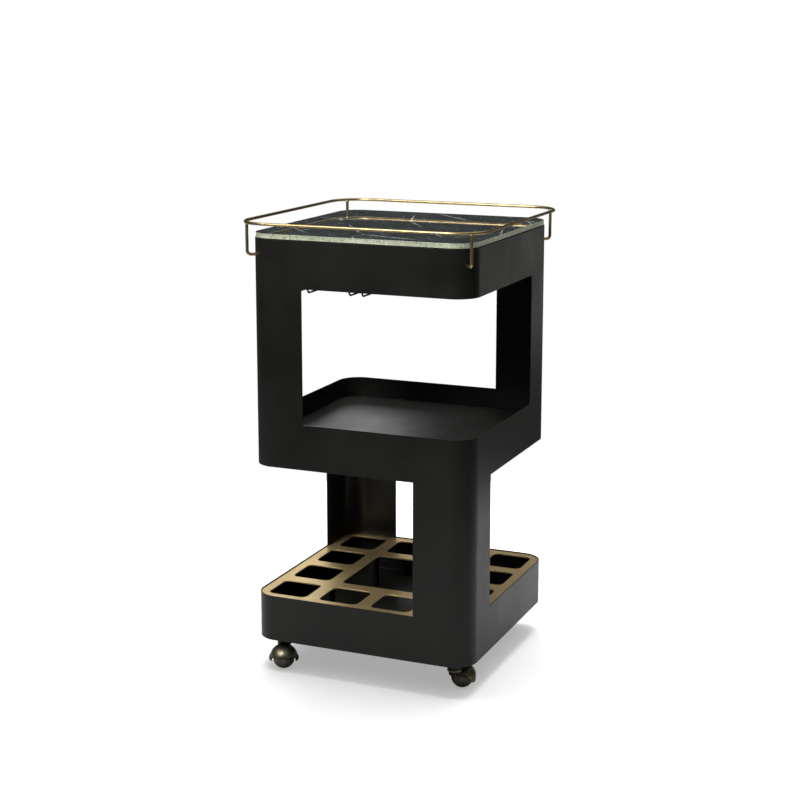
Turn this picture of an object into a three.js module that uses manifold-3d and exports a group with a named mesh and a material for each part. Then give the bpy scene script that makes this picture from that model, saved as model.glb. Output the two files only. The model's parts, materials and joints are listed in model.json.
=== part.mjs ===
// Bar cart on four ball casters. A square sheet-steel body with two open bays carries a marble
// top inside a brass gallery rail, a stemware rack, a serving tray and a bottle plate.
// Millimetres, +Z up, +X to the right, front face towards -Y. The origin is on the floor, under
// the middle of the cart. The body is the same when it is turned half a turn about Z.
import * as THREE from 'three';
import { mergeVertices } from 'three/addons/utils/BufferGeometryUtils.js';
import Module from 'manifold-3d';

const wasm = await Module();
wasm.setup();

// ---- Driving dimensions --------------------------------------------------------------------

// Body of welded sheet steel: three bands joined by two upper and two lower corner posts.
const bodySide = 460;
const bodyCornerRadius = 46;
const sheet = 2;
const baseBandHeight = 92;
const lowerWindowHeight = 265;
const middleBandHeight = 90;
const upperWindowHeight = 265;
const topBandHeight = 92;
const postFlange = 115;

// Clearances.
const seamGap = 0.3; // between welded panels, and round a piece cut to fit its neighbour
const restGap = 0.2; // between a piece and the piece that it rests on
const boreClearance = 0.3; // round a fixed rod or screw in its hole
const runningClearance = 0.15; // round a pin that turns in its bore

// Pans: the top panel, the serving tray and the base tray are folded from one sheet each.
const panSkirt = 18;
const topPanelRecess = 0.5;
const servingTrayDepth = 41;
const baseFloorHeight = 17;

// Marble top on four pads.
const marbleThickness = 10;
const marbleInset = 1.5;
const marbleLift = 1;
const marbleChamfer = 0.8;
const padRadius = 12;
const padInset = 60;

// Gallery rail of round rod, hung outside the body on four bent posts.
const railRodRadius = 3.2;
const railOffset = 18;
const railHeight = 20;
const railJointGap = 0.4;
const railPinLength = 16;
const railPinRadius = 2.6;
const railHookDepth = 31;
const railBendRadius = 8;
const railTailLength = 9;
const railNutFlats = 11;
const railNutHeight = 5;

// Stemware rack: two hairpin channels of wire in two strip hangers under the top panel.
const rackWireRadius = 2;
const rackSlotWidth = 27;
const rackSlotPitch = 115;
const rackDrop = 13.3;
const rackSideInset = 37.5;
const rackFrontInset = 46;
const rackRearInset = 60;
const rackFlareRun = 15;
const rackFlareRise = 18;
const rackFlareRadius = 6;
const hangerFrontInset = 89;
const hangerRearInset = 50;
const hangerWidth = 16;
const hangerThickness = 2;
const rackScrewRadius = 2;
const screwHeadRadius = 4;
const screwHeadHeight = 2.4;

// Bottle plate: a 4 x 4 grid of openings, the middle four joined into one, on four pillars.
const plateThickness = 3;
const plateRecess = 2;
const plateBorder = 22; // from the outside of the body to the outer openings
const cellFillet = 13;
const centreBar = 28;
const sideBar = 28;
const pillarRadius = 6;

// Ball casters: a threaded insert under the base tray, a fixed neck screwed up into it, a
// swivelling hood on a kingpin, and a ball wheel on a riveted axle.
const casterInset = 46;
const casterTrail = 25;
const ballRadius = 22;
const ballHubInset = 1.5; // each hub is flat where the ball is cut off by this much
const ballClearance = 2.6; // between the ball and the inside of its hood
const hoodWall = 3.4;
const hoodHeadroom = 14; // from the top of the hood's dome up to the body
const hoodBossRadius = 14;
const hoodBossHeight = 4.2;
const seatClearance = 0.6; // round the neck, where the dome is cut away for it
const rimRise = 9; // the hood's rim stands this far above the axle where it trails
const earDrop = 7; // and the ears hang this far below the axle
const earPadRadius = 6.5;
const earPadProud = 0.6;
const neckHeight = 18.5;
const neckRadius = 14.5;
const insertRadius = 12;
const stemRadius = 4;
const stemLength = 12;
const kingpinRadius = 5;
const kingpinLength = 9.5;
const kingpinHeadroom = 1;
const axleRadius = 2.5;
const rivetRadius = 4.2;
const rivetThickness = 1.2;

// Each caster's corner, and the direction in degrees from its swivel to its ball.
const casterPlaces = [
  { name: 'front_left', x: -1, y: -1, trailAngle: -67 },
  { name: 'front_right', x: 1, y: -1, trailAngle: 73 },
  { name: 'back_right', x: 1, y: 1, trailAngle: 168 },
  { name: 'back_left', x: -1, y: 1, trailAngle: 205 },
];

// Facets.
const cornerSteps = 4; // an arc of the body outline takes twice this many facets
const filletSteps = 2;
const rodSides = 10;
const wireSides = 8;
const bendSteps = 6;
const flareSteps = 3;
const roundSides = 20;
const smallRoundSides = 12;
const domeSides = 16;
const domeRings = 10;

// ---- Heights and outlines worked out from the driving dimensions ---------------------------

const bodyHalf = bodySide / 2;
const innerHalf = bodyHalf - sheet;
const innerCornerRadius = bodyCornerRadius - sheet;
const panHalf = innerHalf - seamGap;
const panCornerRadius = innerCornerRadius - seamGap;

const hoodRadius = ballRadius + ballClearance + hoodWall;
const casterHeight = ballRadius + hoodRadius + hoodHeadroom;
const baseBandBottom = casterHeight;
const baseBandTop = baseBandBottom + baseBandHeight;
const middleBandBottom = baseBandTop + lowerWindowHeight;
const middleBandTop = middleBandBottom + middleBandHeight;
const topBandBottom = middleBandTop + upperWindowHeight;
const topBandTop = topBandBottom + topBandHeight;

const topPanelTop = topBandTop - topPanelRecess;
const topPanelBottom = topPanelTop - sheet;
const servingTrayTop = middleBandTop - servingTrayDepth;
const baseTrayTop = baseBandBottom + baseFloorHeight;
const baseTrayBottom = baseTrayTop - sheet;
const marbleBottom = topBandTop + marbleLift;
const marbleTop = marbleBottom + marbleThickness;
const plateTop = baseBandTop - plateRecess;
const plateBottom = plateTop - plateThickness;

const cellSide = (bodyHalf - plateBorder - sideBar - centreBar / 2) / 2;
const innerCell = centreBar / 2 + cellSide / 2;
const outerCell = centreBar / 2 + cellSide + sideBar + cellSide / 2;
const centreHoleSide = centreBar + 2 * cellSide;
const pillarPlace = centreHoleSide / 2 + sideBar / 2;

const railHalf = bodyHalf + railOffset;
const railCornerRadius = bodyCornerRadius + railOffset;
const railZ = marbleTop + railHeight;
const railHookZ = topBandTop - railHookDepth;
const diagonal = Math.SQRT1_2;
const cornerMiddle = (half, radius) => half - radius * (1 - diagonal);
const railPostPlace = cornerMiddle(railHalf, railCornerRadius);
const bodyCornerInside = cornerMiddle(innerHalf, innerCornerRadius);

const rackWireZ = topBandBottom - rackDrop;
const rackFrontY = rackFrontInset - bodyHalf;
const rackRearY = bodyHalf - rackRearInset;
const hangerFrontY = rackFrontY + hangerFrontInset;
const hangerRearY = rackRearY - hangerRearInset;
const rackCentreX = rackSideInset - bodyHalf + rackSlotPitch;
const slotCentres = [-1, 1].map((side) => rackCentreX + (side * rackSlotPitch) / 2);
const hangerLegs = [-1, 0, 1].map((step) => rackCentreX + step * rackSlotPitch);
const hangerTop = topPanelBottom - restGap;
const rackScrewPlaces = [hangerFrontY, hangerRearY].flatMap((y) => slotCentres.map((x) => ({ x, y })));

const swivelPlace = bodyHalf - casterInset;
const insertBottom = casterHeight;
const insertTop = baseTrayBottom - restGap;
const neckTop = insertBottom - restGap;
const neckBottom = casterHeight - neckHeight;
const hoodTop = neckBottom - seamGap;
const ballHubHalfWidth = ballRadius - ballHubInset;
const earPadReach = hoodRadius + earPadProud;

// ---- Materials -----------------------------------------------------------------------------

function finish(color, roughness, metalness) {
  return () => new THREE.MeshStandardMaterial({ color, roughness, metalness });
}
const blackPaint = finish(0x2a2927, 0.45, 0.35);
const marble = finish(0x1d2521, 0.18, 0.0);
const silicone = finish(0x9a9d98, 0.6, 0.0);
const railBrass = finish(0xa8875a, 0.3, 0.95);
const plateBronze = finish(0xa08a68, 0.38, 0.9);
const antiqueBronze = finish(0x6b5f49, 0.35, 0.9);
const ballBronze = finish(0x4d463b, 0.35, 0.75);
const blackWire = finish(0x232322, 0.4, 0.4);
const zincSteel = finish(0xb7b9ba, 0.35, 0.9);

// ---- Shapes and solids ---------------------------------------------------------------------

// Closed mesh to solid, so that it can be cut and joined.
function solid(geometry) {
  const bare = geometry.index ? geometry.clone() : geometry;
  bare.deleteAttribute('normal');
  bare.deleteAttribute('uv');
  const welded = mergeVertices(bare, 1e-4);
  const mesh = new wasm.Mesh({
    numProp: 3,
    vertProperties: new Float32Array(welded.attributes.position.array),
    triVerts: new Uint32Array(welded.index.array),
  });
  return new wasm.Manifold(mesh);
}

function geometryOf(body) {
  const mesh = body.getMesh();
  const geometry = new THREE.BufferGeometry();
  geometry.setAttribute('position', new THREE.BufferAttribute(mesh.vertProperties, mesh.numProp));
  geometry.setIndex(new THREE.BufferAttribute(mesh.triVerts, 1));
  geometry.computeVertexNormals();
  return geometry;
}

function roundedSquare(half, radius, centreX = 0, centreY = 0, Outline = THREE.Shape) {
  const outline = new Outline();
  const inset = half - radius;
  const corners = [[1, 1], [-1, 1], [-1, -1], [1, -1]];
  corners.forEach(([x, y], quarter) => {
    const from = (quarter * Math.PI) / 2;
    outline.absarc(centreX + x * inset, centreY + y * inset, radius, from, from + Math.PI / 2);
  });
  outline.closePath();
  return outline;
}

function extrude(shape, height, bottom = 0, curveSegments = cornerSteps) {
  const geometry = new THREE.ExtrudeGeometry(shape, { depth: height, bevelEnabled: false, curveSegments });
  return geometry.translate(0, 0, bottom);
}

function polygon(radius, sides, turn = 0) {
  const points = [];
  for (let i = 0; i < sides; i += 1) {
    const angle = turn + (i * 2 * Math.PI) / sides;
    points.push(new THREE.Vector2(radius * Math.cos(angle), radius * Math.sin(angle)));
  }
  return points;
}

function uprightCylinder(radius, height, bottom, x = 0, y = 0, sides = smallRoundSides) {
  const geometry = new THREE.CylinderGeometry(radius, radius, height, sides);
  return geometry.rotateX(Math.PI / 2).translate(x, y, bottom + height / 2);
}

function box(low, high) {
  const size = high.map((value, i) => value - low[i]);
  const middle = high.map((value, i) => (value + low[i]) / 2);
  return new THREE.BoxGeometry(...size).translate(...middle);
}

// Turned piece about Z: the profile lists (radius, height) pairs that end on the axis.
function turned(profile, sides = roundSides) {
  const points = profile.map(([radius, height]) => new THREE.Vector2(radius, height));
  return new THREE.LatheGeometry(points, sides).rotateX(Math.PI / 2);
}

function hexNut(flats, height, boreRadius) {
  const shape = new THREE.Shape(polygon(flats / Math.sqrt(3), 6));
  shape.holes.push(new THREE.Path(polygon(boreRadius, rodSides)));
  return extrude(shape, height);
}

// Centre line of a bent rod: straight between its corners, with an arc at each bend.
class RodPath extends THREE.Curve {
  constructor(corners, bendRadii, stepsPerBend) {
    super();
    this.stations = [corners[0]];
    bendRadii.forEach((radius, i) => {
      const [before, corner, after] = corners.slice(i, i + 3);
      this.stations.push(...RodPath.bend(before, corner, after, radius, stepsPerBend));
    });
    this.stations.push(corners.at(-1));
    this.steps = this.stations.length - 1;
  }

  static bend(before, corner, after, radius, steps) {
    const inward = corner.clone().sub(before).normalize();
    const outward = after.clone().sub(corner).normalize();
    const turn = inward.angleTo(outward);
    const start = corner.clone().addScaledVector(inward, -radius * Math.tan(turn / 2));
    const across = outward.clone().addScaledVector(inward, -inward.dot(outward)).normalize();
    return Array.from({ length: steps + 1 }, (_, step) => {
      const angle = (turn * step) / steps;
      const along = start.clone().addScaledVector(inward, radius * Math.sin(angle));
      return along.addScaledVector(across, radius * (1 - Math.cos(angle)));
    });
  }

  getPoint(t, target = new THREE.Vector3()) {
    const place = t * this.steps;
    const i = Math.min(Math.floor(place), this.steps - 1);
    return target.lerpVectors(this.stations[i], this.stations[i + 1], place - i);
  }

  getUtoTmapping(u) {
    return u;
  }
}

function rod(path, radius, sides = rodSides) {
  const section = new THREE.Shape(polygon(radius, sides, Math.PI / sides));
  return new THREE.ExtrudeGeometry(section, { steps: path.steps, extrudePath: path });
}

const point = (x, y, z) => new THREE.Vector3(x, y, z);

// ---- The cart ------------------------------------------------------------------------------

const cart = new THREE.Group();

function add(name, geometry, material, parent = cart) {
  const mesh = new THREE.Mesh(geometry, material());
  mesh.name = name;
  parent.add(mesh);
  return mesh;
}

// A group turned about Z, for a piece that repeats at the corners.
function turnedGroup(angle, x = 0, y = 0) {
  const group = new THREE.Group();
  group.position.set(x, y, 0);
  group.rotation.z = angle;
  cart.add(group);
  return group;
}

const corners = [
  { name: 'back_right', turn: 0 },
  { name: 'back_left', turn: Math.PI / 2 },
  { name: 'front_left', turn: Math.PI },
  { name: 'front_right', turn: -Math.PI / 2 },
];
const cornerTurn = Object.fromEntries(corners.map(({ name, turn }) => [name, turn]));

// Bands.
function band(height, bottom) {
  const shape = roundedSquare(bodyHalf, bodyCornerRadius);
  shape.holes.push(roundedSquare(innerHalf, innerCornerRadius, 0, 0, THREE.Path));
  return extrude(shape, height, bottom);
}

// The top band has a diagonal hole through each corner for a rail post's hook.
function drilledTopBand() {
  let body = solid(band(topBandHeight, topBandBottom));
  for (const { turn } of corners) {
    const drill = new THREE.CylinderGeometry(
      railRodRadius + boreClearance, railRodRadius + boreClearance, bodyCornerRadius, rodSides);
    drill.rotateX(Math.PI / 2).rotateY(Math.PI / 2);
    drill.translate(bodyCornerInside / diagonal, 0, railHookZ).rotateZ(turn + Math.PI / 4);
    body = body.subtract(solid(drill));
  }
  return geometryOf(body);
}

add('base_band', band(baseBandHeight, baseBandBottom), blackPaint);
add('middle_band', band(middleBandHeight, middleBandBottom), blackPaint);
add('top_band', drilledTopBand(), blackPaint);

// Corner posts: an angle of sheet with the body's rounded corner, drawn at the back right.
function cornerPost(height, bottom) {
  const centre = bodyHalf - bodyCornerRadius;
  const free = bodyHalf - postFlange;
  const shape = new THREE.Shape();
  shape.moveTo(bodyHalf, free);
  shape.absarc(centre, centre, bodyCornerRadius, 0, Math.PI / 2);
  shape.lineTo(free, bodyHalf);
  shape.lineTo(free, innerHalf);
  shape.absarc(centre, centre, innerCornerRadius, Math.PI / 2, 0, true);
  shape.lineTo(innerHalf, free);
  shape.closePath();
  return extrude(shape, height - 2 * seamGap, bottom + seamGap);
}

for (const name of ['front_left', 'back_right']) {
  const post = cornerPost(upperWindowHeight, middleBandTop);
  add(`upper_post_${name}`, post, blackPaint, turnedGroup(cornerTurn[name]));
}
for (const name of ['front_right', 'back_left']) {
  const post = cornerPost(lowerWindowHeight, baseBandTop);
  add(`lower_post_${name}`, post, blackPaint, turnedGroup(cornerTurn[name]));
}

// Pans, folded with a skirt all round. The floor lies at z = 0 to the sheet's thickness.
function pan(holes) {
  const outer = solid(extrude(roundedSquare(panHalf, panCornerRadius), panSkirt));
  const hollow = roundedSquare(panHalf - sheet, panCornerRadius - sheet);
  let body = outer.subtract(solid(extrude(hollow, panSkirt, sheet)));
  for (const { x, y, radius } of holes) {
    body = body.subtract(solid(uprightCylinder(radius, 3 * sheet, -sheet, x, y)));
  }
  return geometryOf(body);
}

// The two upper pans are laid with the skirt down: a half turn about X takes y to -y.
const rackHoles = rackScrewPlaces.map(({ x, y }) => (
  { x, y: -y, radius: rackScrewRadius + boreClearance }
));
add('top_panel', pan(rackHoles).rotateX(Math.PI).translate(0, 0, topPanelTop), blackPaint);
add('serving_tray', pan([]).rotateX(Math.PI).translate(0, 0, servingTrayTop), blackPaint);

add('base_tray', pan([]).translate(0, 0, baseTrayBottom), blackPaint);

// Marble top and its pads.
function marbleSlab() {
  const half = bodyHalf - marbleInset - marbleChamfer;
  const shape = roundedSquare(half, bodyCornerRadius - marbleInset - marbleChamfer);
  const geometry = new THREE.ExtrudeGeometry(shape, {
    depth: marbleThickness - 2 * marbleChamfer,
    bevelThickness: marbleChamfer,
    bevelSize: marbleChamfer,
    bevelSegments: 1,
    curveSegments: cornerSteps,
  });
  return geometry.translate(0, 0, marbleBottom + marbleChamfer);
}

add('marble_top', marbleSlab(), marble);
const padPlace = bodyHalf - padInset;
corners.forEach(({ turn }, i) => {
  const bottom = topPanelTop + restGap;
  const height = marbleBottom - restGap - bottom;
  const pad = uprightCylinder(padRadius, height, bottom, padPlace, padPlace);
  add(`marble_pad_${i + 1}`, pad, silicone, turnedGroup(turn));
});

// Gallery rail: one loop of rod, closed by a pin at the middle of the back.
function railPath() {
  const half = railHalf;
  const loop = [[1, 1], [1, -1], [-1, -1], [-1, 1]].map(([x, y]) => point(x * half, y * half, railZ));
  const ends = [1, -1].map((side) => point((side * railJointGap) / 2, half, railZ));
  return new RodPath([ends[0], ...loop, ends[1]], loop.map(() => railCornerRadius), bendSteps);
}

function galleryRail() {
  const pin = new THREE.CylinderGeometry(railPinRadius, railPinRadius, railPinLength, wireSides);
  pin.rotateZ(Math.PI / 2).translate(0, railHalf, railZ);
  return geometryOf(solid(rod(railPath(), railRodRadius)).add(solid(pin)));
}

add('gallery_rail', galleryRail(), railBrass);

// Rail posts, drawn at the back right: down from the rail's corner, then in through the band.
const railCutter = solid(rod(railPath(), railRodRadius + seamGap));
const railTailEnd = bodyCornerInside - railTailLength * diagonal;
function railPost() {
  const path = new RodPath([
    point(railPostPlace, railPostPlace, railZ),
    point(railPostPlace, railPostPlace, railHookZ),
    point(railTailEnd, railTailEnd, railHookZ),
  ], [railBendRadius], bendSteps);
  return geometryOf(solid(rod(path, railRodRadius)).subtract(railCutter));
}

// The nut bears on the inside of the band's rounded corner, so its rim stands off the hollow.
function railNut() {
  const rim = railNutFlats / Math.sqrt(3);
  const standOff = innerCornerRadius - Math.sqrt(innerCornerRadius ** 2 - rim ** 2) + restGap;
  const nut = hexNut(railNutFlats, railNutHeight, railRodRadius + boreClearance);
  nut.rotateY(Math.PI / 2);
  nut.translate(bodyCornerInside / diagonal - standOff - railNutHeight, 0, 0);
  return nut.rotateZ(Math.PI / 4).translate(0, 0, railHookZ);
}

for (const { name, turn } of corners) {
  add(`rail_post_${name}`, railPost(), railBrass, turnedGroup(turn));
  add(`rail_nut_${name}`, railNut(), zincSteel, turnedGroup(turn));
}

// Stemware rack: each channel is one wire, flared up at the front and looped at the rear.
function rackChannel(slotX) {
  const [left, right] = [-1, 1].map((side) => slotX + (side * rackSlotWidth) / 2);
  const flareY = rackFrontY - rackFlareRun;
  const flareZ = rackWireZ + rackFlareRise;
  const path = new RodPath([
    point(left, flareY, flareZ),
    point(left, rackFrontY, rackWireZ),
    point(left, rackRearY, rackWireZ),
    point(right, rackRearY, rackWireZ),
    point(right, rackFrontY, rackWireZ),
    point(right, flareY, flareZ),
  ], [rackFlareRadius, rackSlotWidth / 2, rackSlotWidth / 2, rackFlareRadius], flareSteps);
  return rod(path, rackWireRadius, wireSides);
}

// A hanger is a strip comb: a bar under the panel, three legs, and feet welded to the wires.
function rackHanger(y) {
  const half = hangerThickness / 2;
  const [front, back] = [y - hangerWidth / 2, y + hangerWidth / 2];
  const [left, right] = [hangerLegs[0] - half, hangerLegs.at(-1) + half];
  const footLow = rackWireZ - half;
  let body = solid(box([left, front, hangerTop - hangerThickness], [right, back, hangerTop]));
  for (const x of hangerLegs) {
    body = body.add(solid(box([x - half, front, footLow], [x + half, back, hangerTop])));
  }
  const wireEdge = rackSlotWidth / 2 + rackWireRadius + seamGap;
  const footHigh = rackWireZ + half;
  slotCentres.forEach((slotX, i) => {
    const leftFoot = box([hangerLegs[i] - half, front, footLow], [slotX - wireEdge, back, footHigh]);
    const rightFoot = box([slotX + wireEdge, front, footLow], [hangerLegs[i + 1] + half, back, footHigh]);
    body = body.add(solid(leftFoot)).add(solid(rightFoot));
    const drill = uprightCylinder(rackScrewRadius + boreClearance, 3 * hangerThickness,
      hangerTop - 2 * hangerThickness, slotX, y);
    body = body.subtract(solid(drill));
  });
  return geometryOf(body);
}

function rackScrew({ x, y }) {
  const headTop = hangerTop - hangerThickness - restGap;
  const profile = [
    [0, headTop - screwHeadHeight],
    [screwHeadRadius * 0.7, headTop - screwHeadHeight],
    [screwHeadRadius, headTop - screwHeadHeight / 2],
    [screwHeadRadius, headTop],
    [rackScrewRadius, headTop],
    [rackScrewRadius, topPanelTop],
    [0, topPanelTop],
  ];
  return turned(profile, wireSides).translate(x, y, 0);
}

add('rack_channel_left', rackChannel(slotCentres[0]), blackWire);
add('rack_channel_right', rackChannel(slotCentres[1]), blackWire);
add('rack_hanger_front', rackHanger(hangerFrontY), blackWire);
add('rack_hanger_rear', rackHanger(hangerRearY), blackWire);
rackScrewPlaces.forEach((place, i) => add(`rack_screw_${i + 1}`, rackScrew(place), zincSteel));

// Bottle plate, with its pillars under the crossings of the grid's bars.
function bottlePlate() {
  const shape = roundedSquare(panHalf, panCornerRadius);
  const places = [-outerCell, -innerCell, innerCell, outerCell];
  for (const x of places) {
    for (const y of places) {
      const isOuter = Math.max(Math.abs(x), Math.abs(y)) === outerCell;
      if (isOuter) shape.holes.push(roundedSquare(cellSide / 2, cellFillet, x, y, THREE.Path));
    }
  }
  shape.holes.push(roundedSquare(centreHoleSide / 2, cellFillet, 0, 0, THREE.Path));
  return extrude(shape, plateThickness, plateBottom, filletSteps);
}

add('bottle_plate', bottlePlate(), plateBronze);
corners.forEach(({ turn }, i) => {
  const bottom = baseTrayTop + restGap;
  const pillar = uprightCylinder(
    pillarRadius, plateBottom - restGap - bottom, bottom, pillarPlace, pillarPlace);
  add(`plate_pillar_${i + 1}`, pillar, blackPaint, turnedGroup(turn));
});

// ---- Casters, each drawn with its swivel on the Z axis and its ball towards +X -------------

// Threaded insert welded under the base tray, open at the bottom for the neck's stem.
function casterInsert() {
  const boreRadius = stemRadius + boreClearance;
  const boreTop = neckTop + stemLength + restGap;
  return turned([
    [0, boreTop],
    [boreRadius, boreTop],
    [boreRadius, insertBottom],
    [insertRadius, insertBottom],
    [insertRadius, insertTop],
    [0, insertTop],
  ]);
}

// Neck: a stem that screws up into the insert, and a bore for the hood's kingpin below.
function casterNeck() {
  const boreRadius = kingpinRadius + runningClearance;
  const boreTop = hoodTop + kingpinLength + kingpinHeadroom;
  return turned([
    [0, boreTop],
    [boreRadius, boreTop],
    [boreRadius, neckBottom],
    [neckRadius, neckBottom],
    [neckRadius, neckTop],
    [stemRadius, neckTop],
    [stemRadius, neckTop + stemLength],
    [0, neckTop + stemLength],
  ]);
}

// Side view of the hood's lower rim, as (towards the ball, up) from the ball's centre: over the
// ball on the trailing side, down round an ear at the axle, and up to the boss.
const hoodRim = [
  [hoodRadius + 4, rimRise],
  [hoodRadius / 2, rimRise - 2.5],
  [10, 3.5],
  [7.5, 3 - earDrop],
  [5, 0.4 - earDrop],
  [1, -earDrop],
  [-6, 3 - earDrop],
  [-13, 6],
  [-18, 14],
  [-hoodRadius - hoodBossRadius, hoodTop - hoodBossHeight - ballRadius],
];

function casterHood() {
  const [front, back] = [hoodRim[0][0], hoodRim.at(-1)[0]];
  const over = 2 * hoodRadius;
  const outline = [...hoodRim, [back, over], [front, over]].map(([x, y]) => new THREE.Vector2(x, y));
  const depth = 3 * hoodRadius;
  const keep = extrude(new THREE.Shape(outline), depth, -depth / 2).rotateX(Math.PI / 2);
  const dome = new THREE.SphereGeometry(hoodRadius, domeSides, domeRings);
  const clearance = new THREE.SphereGeometry(hoodRadius - hoodWall, domeSides, domeRings);
  const earPads = new THREE.CylinderGeometry(earPadRadius, earPadRadius, 2 * earPadReach, smallRoundSides);
  const axleHole = new THREE.CylinderGeometry(
    axleRadius + boreClearance, axleRadius + boreClearance, 3 * hoodRadius, rodSides);
  const toBall = (geometry) => solid(geometry.translate(casterTrail, 0, ballRadius));
  const boss = uprightCylinder(hoodBossRadius, hoodBossHeight, hoodTop - hoodBossHeight, 0, 0, domeSides);
  const kingpin = uprightCylinder(kingpinRadius, kingpinLength + 1, hoodTop - 1, 0, 0, smallRoundSides);
  const seat = uprightCylinder(neckRadius + seatClearance, hoodRadius, hoodTop, 0, 0, domeSides);
  const cover = toBall(dome).intersect(toBall(keep)).subtract(solid(seat));
  const covered = cover.add(toBall(earPads)).add(solid(boss));
  const hollowed = covered.subtract(toBall(clearance)).subtract(toBall(axleHole));
  return geometryOf(hollowed.add(solid(kingpin)));
}

// Axle with a rivet head at each end, along Y.
function casterAxle() {
  const headInner = earPadReach + restGap;
  const headOuter = headInner + rivetThickness;
  const half = [[rivetRadius, headInner], [rivetRadius * 0.8, headOuter], [0, headOuter]];
  const profile = [
    ...half.map(([radius, y]) => [radius, -y]).reverse(),
    [axleRadius, -headInner],
    [axleRadius, headInner],
    ...half,
  ];
  const points = profile.map(([radius, y]) => new THREE.Vector2(radius, y));
  return new THREE.LatheGeometry(points, rodSides).translate(casterTrail, 0, ballRadius);
}

// Ball wheel with flat hubs and a bore, along Y.
function casterBall() {
  const boreRadius = axleRadius + 2 * runningClearance;
  const hubAngle = Math.asin(ballHubHalfWidth / ballRadius);
  const points = [new THREE.Vector2(boreRadius, -ballHubHalfWidth)];
  for (let step = 0; step <= rodSides; step += 1) {
    const angle = hubAngle * ((2 * step) / rodSides - 1);
    points.push(new THREE.Vector2(ballRadius * Math.cos(angle), ballRadius * Math.sin(angle)));
  }
  points.push(new THREE.Vector2(boreRadius, ballHubHalfWidth), points[0]);
  return new THREE.LatheGeometry(points, roundSides).translate(casterTrail, 0, ballRadius);
}

for (const { name, x, y, trailAngle } of casterPlaces) {
  const caster = turnedGroup(THREE.MathUtils.degToRad(trailAngle), x * swivelPlace, y * swivelPlace);
  add(`caster_${name}_insert`, casterInsert(), zincSteel, caster);
  add(`caster_${name}_neck`, casterNeck(), blackPaint, caster);
  add(`caster_${name}_hood`, casterHood(), antiqueBronze, caster);
  add(`caster_${name}_axle`, casterAxle(), antiqueBronze, caster);
  add(`caster_${name}_ball`, casterBall(), ballBronze, caster);
}

export default cart;
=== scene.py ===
"""Bar cart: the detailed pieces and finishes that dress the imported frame, and the studio round it.

Everything is in metres, with +Z up, the front of the cart towards -Y and the floor at Z = 0.
"""

import json
import logging
import math
from dataclasses import dataclass
from enum import Enum
from typing import Callable, Sequence

import bmesh
import bpy
from mathutils import Matrix, Vector


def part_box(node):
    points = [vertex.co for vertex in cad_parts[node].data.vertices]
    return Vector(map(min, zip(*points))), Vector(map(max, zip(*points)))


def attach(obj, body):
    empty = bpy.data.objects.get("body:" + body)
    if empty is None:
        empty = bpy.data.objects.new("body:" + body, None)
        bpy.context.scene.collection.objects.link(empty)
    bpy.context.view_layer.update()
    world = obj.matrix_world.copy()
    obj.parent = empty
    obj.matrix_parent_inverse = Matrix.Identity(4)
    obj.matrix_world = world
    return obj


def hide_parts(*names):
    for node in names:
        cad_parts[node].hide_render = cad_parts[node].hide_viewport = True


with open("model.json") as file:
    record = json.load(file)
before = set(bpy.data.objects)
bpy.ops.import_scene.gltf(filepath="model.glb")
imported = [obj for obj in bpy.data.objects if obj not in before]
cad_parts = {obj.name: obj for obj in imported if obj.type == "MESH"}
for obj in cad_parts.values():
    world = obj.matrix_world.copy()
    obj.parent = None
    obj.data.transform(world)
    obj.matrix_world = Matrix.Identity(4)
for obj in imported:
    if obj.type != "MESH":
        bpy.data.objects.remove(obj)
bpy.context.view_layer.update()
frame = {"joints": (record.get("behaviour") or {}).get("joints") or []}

LOG = logging.getLogger("bar_cart")
MM = 0.001
X, Y, Z = range(3)
CORNERS = {"front_left": (-1, -1), "front_right": (1, -1), "back_right": (1, 1), "back_left": (-1, 1)}
FIXED_BODY = "cart"
CORNER_STEPS = 20
ROD_SIDES = 24
ROUND_STEPS = 64
EASE_STEPS = 3
SMOOTH_ANGLE = math.radians(38)
LONGEST_EASE = 0.45
LEAST_RADIUS = 0.5 * MM
POLE_RADIUS = 1e-9
MERGE_DISTANCE = 1e-6
NEARLY_ALONG = 0.95
NEARLY_UPRIGHT = 0.9
FLAT_LAP = 0.06
TIP_DEPTHS = (0.0, 0.12, 0.45)
TIP_WIDTHS = (0.55, 0.86, 1.0)

Plan = list[tuple[float, float]]
Plug = bpy.types.NodeSocket | float | Sequence[float]
Plugs = dict[int | str, Plug]
Shape = bmesh.types.BMesh | bpy.types.Mesh


class Slot(Enum):
    """The material slots that a piece may take its finish from."""

    BLACK_PAINT = "black_paint"
    MARBLE = "marble"
    SILICONE = "silicone"
    RAIL_BRASS = "rail_brass"
    PLATE_BRONZE = "plate_bronze"
    ANTIQUE_BRONZE = "antique_bronze"
    BALL_BRONZE = "ball_bronze"
    BLACK_WIRE = "black_wire"
    ZINC_STEEL = "zinc_steel"


# ---- Reading the frame ----------------------------------------------------------------------


def span(node: str, axis: int) -> tuple[float, float]:
    """Reach of a frame node along one axis.

    Args:
        node: Name of the node.
        axis: X, Y or Z.

    Returns:
        Its lowest and highest coordinate.
    """
    low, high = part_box(node)
    return low[axis], high[axis]


def joint_place(name: str) -> Vector:
    """Place of a joint.

    Args:
        name: Name of the joint.

    Returns:
        The point that its axis runs through.
    """
    joint = next(each for each in frame["joints"] if each["name"] == name)
    return Vector(joint["pos_m"])


# ---- Shapes ---------------------------------------------------------------------------------


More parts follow.
